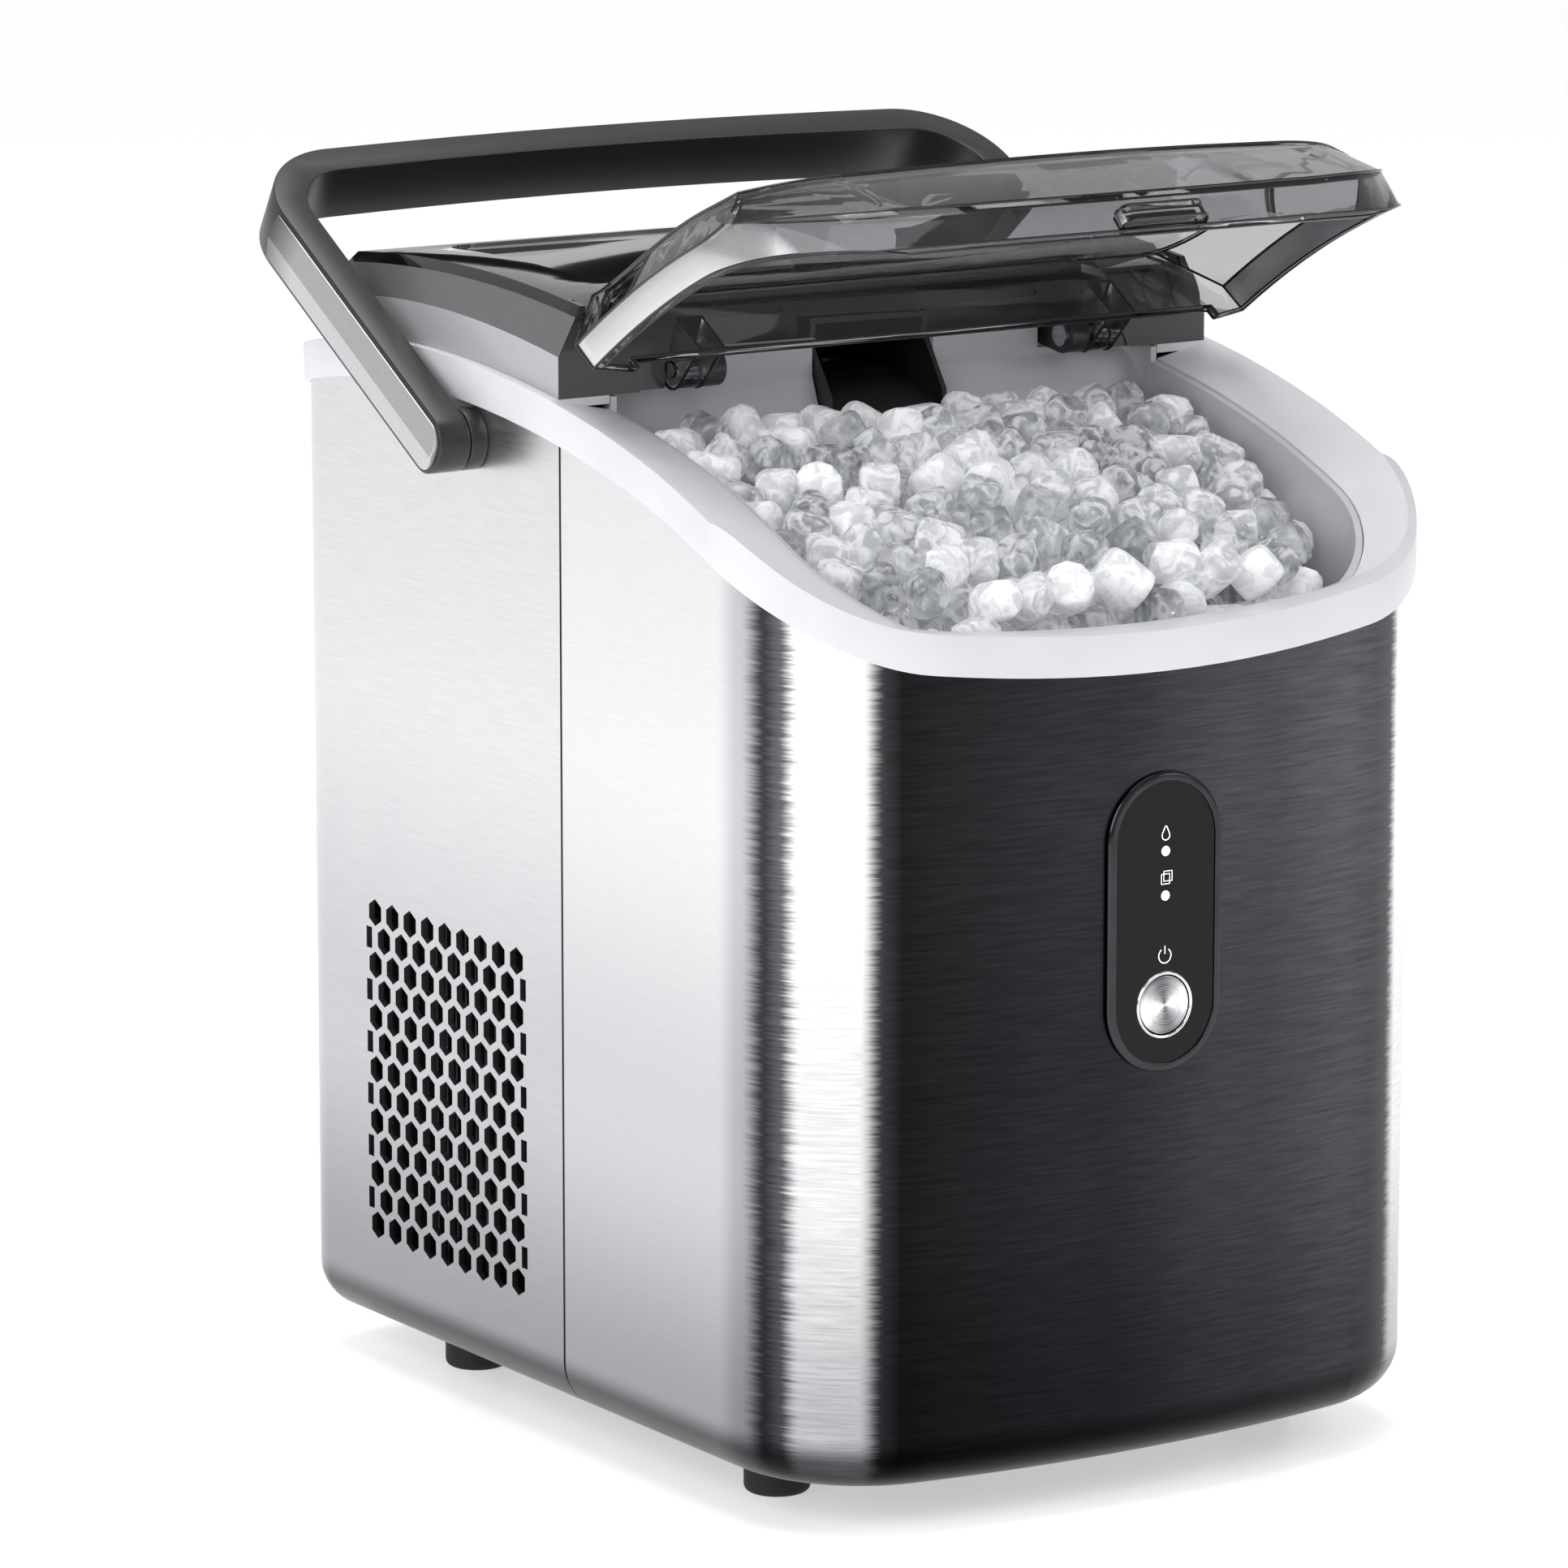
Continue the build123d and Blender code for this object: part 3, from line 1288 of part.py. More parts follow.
with BuildPart() as chassis_frame:
    with Locations((0, (gearbox_front + gearbox_rear) / 2, shelf_z)):
        Box(2 * gearbox_half, gearbox_depth, 3.0, align=(Align.CENTER, Align.CENTER, Align.MIN))
    add(upright(pinion_shaft + 2, shelf_z - 1, gearbox_base + 1, motor_y), mode=Mode.SUBTRACT)
    with Locations((-gearbox_half, gearbox_front, pan_top)):
        Box(frame_plate, gearbox_depth, shelf_z - pan_top, align=(Align.MIN, Align.MIN, Align.MIN))
        Box(14, gearbox_rear - gearbox_front, frame_plate, align=(Align.MIN, Align.MIN, Align.MIN))
    with Locations((gearbox_half, gearbox_front, pan_top)):
        Box(frame_plate, 30, shelf_z - pan_top, align=(Align.MAX, Align.MIN, Align.MIN))
        Box(14, 30, frame_plate, align=(Align.MAX, Align.MIN, Align.MIN))
chassis_frame.part.label = "chassis_frame"
export_step(chassis_frame.part, "parts/chassis_frame.step")

# ---- Cooling system --------------------------------------------------------------
condenser_size = (condenser_depth, condenser_high[0] - condenser_low[0], condenser_high[1] - condenser_low[1])
condenser_middle = (
    condenser_x + condenser_depth / 2,
    (condenser_low[0] + condenser_high[0]) / 2,
    (condenser_low[1] + condenser_high[1]) / 2,
)

with BuildPart() as condenser:
    with BuildSketch(Plane.XZ.offset(-condenser_low[0])):
        with Locations((condenser_middle[0], condenser_middle[2])):
            with GridLocations(1, condenser_size[2] / tube_rows, 1, tube_rows):
                Circle(fin_tube)
    extrude(amount=-condenser_size[1])
    with Locations(condenser_middle):
        with GridLocations(1, fin_pitch, 1, fin_count):
            Box(condenser_depth, fin_thickness, condenser_size[2] - 3)
        for end in (-1, 1):
            with Locations((0, end * (condenser_size[1] / 2 - 0.6), 0)):
                Box(condenser_depth, 1.2, condenser_size[2])
condenser.part.label = "condenser"
export_step(condenser.part, "parts/condenser.step")

shroud_x = condenser_x + condenser_depth + 2.0
shroud_hole = fan_radius + fan_tip_gap
blade_start = shroud_x + 4.0
mount_x = blade_start + blade_depth + 2.0


def fan_bar(radius, start, end):
    """A round bar on the fan's axis."""
    with BuildPart() as bar:
        with BuildSketch(Plane.YZ.offset(start)):
            with Locations((fan_y, fan_z)):
                Circle(radius)
        extrude(amount=end - start)
    return bar.part


with BuildPart() as fan_shroud:
    with Locations((shroud_x, condenser_middle[1], condenser_middle[2])):
        Box(2.0, condenser_size[1], condenser_size[2], align=(Align.MIN, Align.CENTER, Align.CENTER))
    add(fan_bar(shroud_hole + 2, shroud_x, mount_x + 2))
    add(fan_bar(shroud_hole, shroud_x - 1, mount_x + 3), mode=Mode.SUBTRACT)
    with BuildSketch(Plane.YZ.offset(mount_x)):
        with Locations((fan_y, fan_z)):
            Circle(fan_motor_radius)
            with PolarLocations(0, 4, start_angle=45):
                Rectangle(shroud_hole + 1, 6, align=(Align.MIN, Align.CENTER))
            Circle(fan_shaft + 1, mode=Mode.SUBTRACT)
    extrude(amount=2.0)
fan_shroud.part.label = "fan_shroud"
export_step(fan_shroud.part, "parts/fan_shroud.step")

with BuildPart() as fan_blade:
    add(fan_bar(fan_hub, blade_start, blade_start + blade_depth))
    fillet(fan_blade.faces().sort_by(Axis.X)[0].edges(), 2)
    add(fan_bar(fan_shaft, blade_start + blade_depth, mount_x + 6))
    blade_middle = (blade_start + blade_depth / 2, fan_y, fan_z)
    with Locations(Plane(origin=blade_middle, x_dir=(0, 1, 0), z_dir=(1, 0, 0))):
        with PolarLocations(0, blade_count):
            with Locations(Location((fan_hub - 1, 0, 0), (blade_pitch, 0, 0))):
                Box(fan_radius - fan_hub, 19, 1.6, align=(Align.MIN, Align.CENTER, Align.CENTER))
    add(fan_bar(fan_radius, blade_start, mount_x + 10), mode=Mode.INTERSECT)
fan_blade.part.label = "fan_blade"
export_step(fan_blade.part, "parts/fan_blade.step")

with BuildPart() as fan_motor:
    add(fan_bar(fan_motor_radius, mount_x + 2, mount_x + 2 + fan_motor_length))
    chamfer(fan_motor.faces().sort_by(Axis.X)[-1].edges(), 2)
    add(fan_bar(fan_shaft + pivot_fit, mount_x, mount_x + 7), mode=Mode.SUBTRACT)
fan_motor.part.label = "fan_motor"
export_step(fan_motor.part, "parts/fan_motor.step")

plate_z = pan_top + grommet_height
with BuildPart() as compressor:
    with Locations((compressor_x, compressor_y, plate_z + 4)):
        Cylinder(
            compressor_radius, compressor_top - plate_z - 4,
            align=(Align.CENTER, Align.CENTER, Align.MIN),
        )
    fillet(compressor.edges().group_by(Axis.Z)[-1], 16)
    fillet(compressor.edges().group_by(Axis.Z)[0], 3)
    with Locations((compressor_x, compressor_y, plate_z + 62)):
        Cylinder(compressor_radius + 1.2, 4)
    with BuildSketch(Plane.XY.offset(plate_z)):
        with Locations((compressor_x, compressor_y)):
            Circle(compressor_radius - 8)
            for angle, reach in compressor_feet:
                with PolarLocations(0, 1, start_angle=angle):
                    Rectangle(reach, 16, align=(Align.MIN, Align.CENTER))
                with PolarLocations(reach, 1, start_angle=angle):
                    Circle(8)
                    Circle(3.2, mode=Mode.SUBTRACT)
    extrude(amount=4.2)
    with Locations((compressor_x - 10, compressor_y + 8, compressor_top - 3)):
        Cylinder(pipe_radius + 1, 6, align=(Align.CENTER, Align.CENTER, Align.MIN))
    with Locations((compressor_x + 12, compressor_y + 8, compressor_top - 3)):
        Cylinder(pipe_radius + 1, 6, align=(Align.CENTER, Align.CENTER, Align.MIN))
compressor.part.label = "compressor"
export_step(compressor.part, "parts/compressor.step")

with BuildPart() as compressor_grommets:
    for angle, reach in compressor_feet:
        with Locations((compressor_x, compressor_y, pan_top)):
            with PolarLocations(reach, 1, start_angle=angle):
                Cylinder(6.5, grommet_height, align=(Align.CENTER, Align.CENTER, Align.MIN))
                Cylinder(3.2, grommet_height + 8, align=(Align.CENTER, Align.CENTER, Align.MIN))
compressor_grommets.part.label = "compressor_grommets"
export_step(compressor_grommets.part, "parts/compressor_grommets.step")

def pipe(points, radius, bend):
    """A bent tube along straight runs joined by arcs."""
    with BuildPart() as run:
        with BuildLine() as route:
            FilletPolyline(*points, radius=bend)
        with BuildSketch(Plane(origin=route.line @ 0, z_dir=route.line % 0)):
            Circle(radius)
        sweep()
    return run.part


condenser_end = condenser_high[0]
stub_top = compressor_top + 3
discharge_x = compressor_x + 12
suction_x = compressor_x - 10
stub_y = compressor_y + 8
port_z = coil_low + coil_pitch * coil_turns
coil_side = coil_radius + pipe_radius

discharge = pipe(
    [
        (discharge_x, stub_y, stub_top), (discharge_x, stub_y, pipe_top), (discharge_x, pipe_lane, pipe_top),
        (condenser_middle[0], pipe_lane, pipe_top), (condenser_middle[0], pipe_lane, 134),
        (condenser_middle[0], condenser_end, 134),
    ],
    pipe_radius, 8.0,
)
liquid = pipe(
    [
        (condenser_middle[0], condenser_end, 44), (condenser_middle[0], drier_place[1], 44),
        (drier_place[0], drier_place[1], 44), (drier_place[0], drier_place[1], drier_low),
    ],
    pipe_radius, 6.0,
)
capillary_lane = jacket_outer + 4.5
capillary = pipe(
    [
        (drier_place[0], drier_place[1], drier_high), (drier_place[0], drier_place[1], 194),
        (capillary_lane - 8, drier_place[1] - 6, 194), (capillary_lane, 96, 194), (capillary_lane, 14, 194),
        (coil_radius, 14, coil_low), (coil_radius, column_y, coil_low),
    ],
    1.2, 5.0,
)
suction = pipe(
    [
        (suction_x, stub_y, stub_top), (suction_x, stub_y, 186), (capillary_lane - 1, 104, 186),
        (capillary_lane - 1, 104, port_z), (coil_radius, 84, port_z), (coil_radius, column_y, port_z),
    ],
    pipe_radius, 7.0,
)
refrigerant_pipes = Part(children=[discharge, liquid, capillary, suction])
refrigerant_pipes.label = "refrigerant_pipes"
export_step(refrigerant_pipes, "parts/refrigerant_pipes.step")

with BuildPart() as filter_drier:
    with Locations((*drier_place, drier_low)):
        Cylinder(8.0, drier_high - drier_low, align=(Align.CENTER, Align.CENTER, Align.MIN))
    fillet(filter_drier.edges().filter_by(GeomType.CIRCLE), 4)
filter_drier.part.label = "filter_drier"
export_step(filter_drier.part, "parts/filter_drier.step")

# ---- Water -----------------------------------------------------------------------
with BuildPart() as water_pump:
    with Locations((*pump_place, pan_top)):
        Box(30, 38, 4, align=(Align.CENTER, Align.CENTER, Align.MIN))
        Cylinder(14, 30, align=(Align.CENTER, Align.CENTER, Align.MIN))
    fillet(water_pump.edges().group_by(Axis.Z)[-1], 2)
    with Locations((*pump_place, pan_top + 30)):
        Cylinder(4.5, 6, align=(Align.CENTER, Align.CENTER, Align.MIN))
    with Locations(Plane(origin=(pump_place[0] + 13, pump_place[1], pan_top + 16), z_dir=(1, 0, 0))):
        Cylinder(4.5, 7, align=(Align.CENTER, Align.CENTER, Align.MIN))
water_pump.part.label = "water_pump"
export_step(water_pump.part, "parts/water_pump.step")

inlet_port_z = gearbox_top + 8
tank_hose = pipe(
    [
        (feed_x, pump_place[1], liner_floor), (feed_x, pump_place[1], 88),
        (pump_place[0], pump_place[1], 76), (pump_place[0], pump_place[1], pan_top + 36),
    ],
    hose_radius, 9.0,
)
feed_hose = pipe(
    [
        (pump_place[0] + 20, pump_place[1], pan_top + 16), (0, pump_place[1], pan_top + 16),
        (0, riser_y, pan_top + 16), (0, riser_y, inlet_port_z), (0, column_y - tube_radius, inlet_port_z),
    ],
    hose_radius, 8.0,
)
drain_hose = pipe(
    [
        (drain_x, -24, liner_floor), (drain_x, -24, drain_z), (drain_x, half_depth - 26, drain_z),
    ],
    hose_radius, 12.0,
)
water_hoses = Part(children=[tank_hose, feed_hose, drain_hose])
water_hoses.label = "water_hoses"
export_step(water_hoses, "parts/water_hoses.step")

with BuildPart() as drain_spout:
    with BuildSketch(Plane.XZ.offset(-(half_depth - 26))):
        with Locations((drain_x, drain_z)):
            Circle(drain_radius - 0.1)
    extrude(amount=-25.8)
    with BuildSketch(Plane.XZ.offset(-(half_depth - 10))):
        with Locations((drain_x, drain_z)):
            Circle(plug_radius + 0.05)
    extrude(amount=-30, mode=Mode.SUBTRACT)
    with BuildSketch(Plane.XZ.offset(-(half_depth - shell_wall - 2))):
        with Locations((drain_x, drain_z)):
            Circle(drain_radius + 3)
            Circle(drain_radius - 1, mode=Mode.SUBTRACT)
    extrude(amount=-1.9)
drain_spout.part.label = "drain_spout"
export_step(drain_spout.part, "parts/drain_spout.step")

with BuildPart() as drain_plug:
    with BuildSketch(Plane.XZ.offset(-(half_depth - 9.5))):
        with Locations((drain_x, drain_z)):
            Circle(plug_radius)
    extrude(amount=-(9.5 + moving_gap))
    with BuildSketch(Plane.XZ.offset(-(half_depth + moving_gap))):
        with Locations((drain_x, drain_z)):
            Circle(drain_radius + 2)
            Rectangle(26, 8)
    extrude(amount=-1.6)
drain_plug.part.label = "drain_plug"
export_step(drain_plug.part, "parts/drain_plug.step")

# ---- Electrics -------------------------------------------------------------------
with BuildPart() as power_inlet:
    with BuildSketch(Plane.XZ.offset(-(half_depth - 10))):
        with Locations((inlet_x, inlet_z)):
            Circle(inlet_radius - 0.1)
    extrude(amount=-11.5)
    with BuildSketch(Plane.XZ.offset(-half_depth)):
        with Locations((inlet_x, inlet_z)):
            Circle(inlet_radius + 2.5)
    extrude(amount=-1.5)
    with BuildSketch(Plane.XZ.offset(-(half_depth - 12))):
        with Locations((inlet_x, inlet_z)):
            Circle(3.6)
    extrude(amount=-20, mode=Mode.SUBTRACT)
power_inlet.part.label = "power_inlet"
export_step(power_inlet.part, "parts/power_inlet.step")

with BuildPart() as main_board:
    with Locations((*board_middle, board_z)):
        Box(60, 92, 1.6, align=(Align.CENTER, Align.CENTER, Align.MIN))
    with Locations((board_middle[0] - 12, board_middle[1] + 24, board_z + 1.6)):
        Box(26, 24, 20, align=(Align.CENTER, Align.CENTER, Align.MIN))
    with Locations((board_middle[0] - 10, board_middle[1] - 16, board_z + 1.6)):
        with GridLocations(17, 22, 2, 2):
            Box(13, 18, 15, align=(Align.CENTER, Align.CENTER, Align.MIN))
    with Locations((board_middle[0] + 20, board_middle[1] + 10, board_z + 1.6)):
        with GridLocations(1, 18, 1, 3):
            Cylinder(6, 18, align=(Align.CENTER, Align.CENTER, Align.MIN))
main_board.part.label = "main_board"
export_step(main_board.part, "parts/main_board.step")

with BuildPart() as board_tray:
    with Locations((*board_middle, board_z - 7)):
        Box(64, 98, 2, align=(Align.CENTER, Align.CENTER, Align.MIN))
    with Locations((*board_middle, board_z - 5)):
        with GridLocations(50, 82, 2, 2):
            Cylinder(3, 5, align=(Align.CENTER, Align.CENTER, Align.MIN))
    with Locations((board_middle[0] + 31, board_middle[1], board_z - 7)):
        Box(2, 98, 26, align=(Align.CENTER, Align.CENTER, Align.MIN))
board_tray.part.label = "board_tray"
export_step(board_tray.part, "parts/board_tray.step")

# ---- Screws ----------------------------------------------------------------------
with BuildPart() as base_screws:
    with Locations(*[(x, y, shell_bottom) for x, y in base_screw_places]):
        Cylinder(base_screw_radius, pan_top - shell_bottom, align=(Align.CENTER, Align.CENTER, Align.MIN))
    with Locations(*[(x, y, pan_top) for x, y in base_screw_places]):
        Cylinder(2 * base_screw_radius, 1.8, align=(Align.CENTER, Align.CENTER, Align.MIN))
base_screws.part.label = "base_screws"
export_step(base_screws.part, "parts/base_screws.step")
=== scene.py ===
import json
import math

import bmesh
import bpy
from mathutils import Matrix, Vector


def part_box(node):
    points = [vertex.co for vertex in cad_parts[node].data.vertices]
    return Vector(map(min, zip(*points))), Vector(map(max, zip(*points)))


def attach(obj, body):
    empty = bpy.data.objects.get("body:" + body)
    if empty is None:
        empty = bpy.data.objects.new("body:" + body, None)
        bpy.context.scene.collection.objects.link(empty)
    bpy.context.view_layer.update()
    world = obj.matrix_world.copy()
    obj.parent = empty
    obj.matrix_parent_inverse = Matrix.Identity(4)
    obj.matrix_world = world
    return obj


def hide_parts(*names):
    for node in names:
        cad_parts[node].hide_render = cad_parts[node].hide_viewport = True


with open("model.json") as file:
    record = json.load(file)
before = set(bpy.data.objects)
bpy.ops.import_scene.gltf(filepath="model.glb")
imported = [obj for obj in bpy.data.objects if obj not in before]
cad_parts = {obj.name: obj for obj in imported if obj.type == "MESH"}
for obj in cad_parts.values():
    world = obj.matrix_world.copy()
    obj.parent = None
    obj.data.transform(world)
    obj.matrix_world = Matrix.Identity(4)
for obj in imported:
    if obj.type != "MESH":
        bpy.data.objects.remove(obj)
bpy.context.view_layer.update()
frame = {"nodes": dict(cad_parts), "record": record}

nodes = frame["nodes"]
slots = {part["node"]: part["material_slot"] for part in frame["record"]["subparts"]}


# ---- Camera -------------------------------------------------------------------
# A long lens looks at the machine from its front left, a little above the rim,
# so that upright edges stay nearly parallel, as in a catalogue view.
camera_azimuth = math.radians(33.27)
camera_elevation = math.radians(11.03)
camera_distance = 2.2855
camera_aim = Vector((-0.0318, 0.0, 0.1849))

camera = bpy.data.objects.new("camera", bpy.data.cameras.new("camera"))
bpy.context.scene.collection.objects.link(camera)
view_line = Vector((
    math.sin(camera_azimuth) * math.cos(camera_elevation),
    math.cos(camera_azimuth) * math.cos(camera_elevation),
    -math.sin(camera_elevation),
))
camera.location = camera_aim - camera_distance * view_line
camera.rotation_euler = view_line.to_track_quat("-Z", "Y").to_euler()
camera.data.lens = 181.4
camera.data.sensor_width = 36.0
bpy.context.scene.camera = camera


# ---- Studio -------------------------------------------------------------------
# A white table in a white room, with one large soft box on each side and one
# overhead. The room is greyer to reflections than to the eye, so metal has depth.
def linear(hex_colour):
    """An sRGB hex colour as linear red, green, blue and alpha."""
    channels = [int(hex_colour[start:start + 2], 16) / 255 for start in (1, 3, 5)]
    return [c / 12.92 if c <= 0.04045 else ((c + 0.055) / 1.055) ** 2.4 for c in channels] + [1.0]


def add_node(tree, kind, inputs=None, stops=(), **settings):
    """Adds a node with its settings, its inputs' values or links, and its stops if it is a colour ramp."""
    made = tree.nodes.new(kind)
    for name, value in settings.items():
        setattr(made, name, value)
    for name, value in (inputs or {}).items():
        if isinstance(value, bpy.types.NodeSocket):
            tree.links.new(value, made.inputs[name])
        else:
            made.inputs[name].default_value = value
    if stops:
        made.color_ramp.interpolation = "EASE"
        while len(made.color_ramp.elements) < len(stops):
            made.color_ramp.elements.new(0.5)
        for element, (place, colour) in zip(made.color_ramp.elements, stops):
            element.position = place
            element.color = linear(colour)
    return made


def material(name, build):
    """A new material whose surface is the shader that build(tree) returns."""
    made = bpy.data.materials.new(name)
    made.use_nodes = True
    tree = made.node_tree
    tree.nodes.clear()
    shader = build(tree)
    add_node(tree, "ShaderNodeOutputMaterial", {"Surface": shader.outputs[0]})
    return made


def soft_box(name, place, size, power):
    """A large square area light that faces the middle of the machine."""
    lamp = bpy.data.lights.new(name, "AREA")
    lamp.shape = "SQUARE"
    lamp.size = size
    lamp.energy = power
    holder = bpy.data.objects.new(name, lamp)
    bpy.context.scene.collection.objects.link(holder)
    holder.location = place
    holder.rotation_euler = (Vector((0, 0, 0.2)) - Vector(place)).to_track_quat("-Z", "Y").to_euler()


def build_table(tree):
    grain = add_node(tree, "ShaderNodeTexNoise", {"Scale": 30.0, "Detail": 2.0})
    rough = add_node(tree, "ShaderNodeMapRange", {
        "Value": grain.outputs[0], "To Min": 0.28, "To Max": 0.34,
    })
    return add_node(tree, "ShaderNodeBsdfPrincipled", {
        "Base Color": linear("#f4f4f4"),
        "Roughness": rough.outputs[0],
        "Emission Color": linear("#ffffff"),
        "Emission Strength": 0.5,
    })


room = bpy.data.worlds.new("room")
bpy.context.scene.world = room
room.use_nodes = True
room.node_tree.nodes.clear()
path = add_node(room.node_tree, "ShaderNodeLightPath")
seen = add_node(room.node_tree, "ShaderNodeMapRange", {
    "Value": path.outputs["Is Camera Ray"], "To Min": 0.5, "To Max": 1.0,
})
backdrop = add_node(room.node_tree, "ShaderNodeBackground", {
    "Color": linear("#ffffff"), "Strength": seen.outputs[0],
})
add_node(room.node_tree, "ShaderNodeOutputWorld", {"Surface": backdrop.outputs[0]})
bpy.context.scene.view_settings.view_transform = "Standard"

table_mesh = bpy.data.meshes.new("table")
table_reach = 12.0
table_mesh.from_pydata(
    [(-table_reach, -table_reach, 0), (table_reach, -table_reach, 0),
     (table_reach, table_reach, 0), (-table_reach, table_reach, 0)],
    [], [(0, 1, 2, 3)],
)
table = bpy.data.objects.new("table", table_mesh)
bpy.context.scene.collection.objects.link(table)
table_mesh.materials.append(material("white_table", build_table))

soft_box("left_box", (-1.5, -0.5, 1.0), 1.2, 14)
soft_box("right_box", (1.4, -1.2, 1.3), 1.0, 10)
soft_box("top_box", (0.0, 0.2, 1.9), 1.2, 18)


# ---- Shells -------------------------------------------------------------------
# Two wraps of thin stainless sheet, brushed along their length so that the lines
# lie level. The front one is tinted black across its face. Round each front corner
# its colour holds a painted reflection, a dark strip and then a bright band, and
# both wraps carry painted shade and reflection that darken them towards the table.
brush_pitch = 0.0008  # real brush lines are finer; these are as coarse as shows
brush_length = 0.016
corner_across, corner_ahead = 0.0655, -0.0897  # axis of the rounded front corners
seam_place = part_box("front_shell")[1].y
seam_half, seam_edge = 0.0004, 0.0007  # where the painted black shade of the slit starts to fade, and where it ends


def brush_lines(tree):
    """Level brush lines, as one noise value."""
    place = add_node(tree, "ShaderNodeTexCoord")
    stretch = add_node(tree, "ShaderNodeMapping", {
        "Vector": place.outputs["Object"],
        "Scale": (1 / brush_length, 1 / brush_length, 1 / brush_pitch),
    })
    return add_node(tree, "ShaderNodeTexNoise", {
        "Vector": stretch.outputs[0], "Scale": 1.0, "Detail": 4.0, "Roughness": 0.6,
    }).outputs[0]


def painted_shade_by_height(tree, parts):
    """Painted shade and reflection: steel darkened towards the table it mirrors and lighter towards the
    top, and black painted shade at the slit where the two wraps meet.
    """
    height = add_node(tree, "ShaderNodeMapRange", {"Value": parts.outputs[2], "From Max": 0.24})
    # Painted shade near the table and painted light towards the top.
    low = add_node(tree, "ShaderNodeValToRGB", {0: height.outputs[0]}, stops=[
        (0.045, "#2c2c2e"), (0.085, "#4c4c4f"), (0.12, "#a6a6a9"), (0.45, "#d6d6d8"), (0.9, "#ffffff"),
    ])
    # Painted shade: black along the slit between the two wraps.
    off_seam = add_node(tree, "ShaderNodeMath", {0: parts.outputs[1], 1: seam_place}, operation="SUBTRACT")
    near = add_node(tree, "ShaderNodeMath", {0: off_seam.outputs[0]}, operation="ABSOLUTE")
    slit_painted_shade = add_node(tree, "ShaderNodeMapRange", {
        "Value": near.outputs[0], "From Min": seam_half, "From Max": seam_edge, "To Min": 0.05,
    })
    return add_node(tree, "ShaderNodeVectorMath", {
        0: low.outputs[0], "Scale": slit_painted_shade.outputs[0],
    }, operation="SCALE").outputs[0]


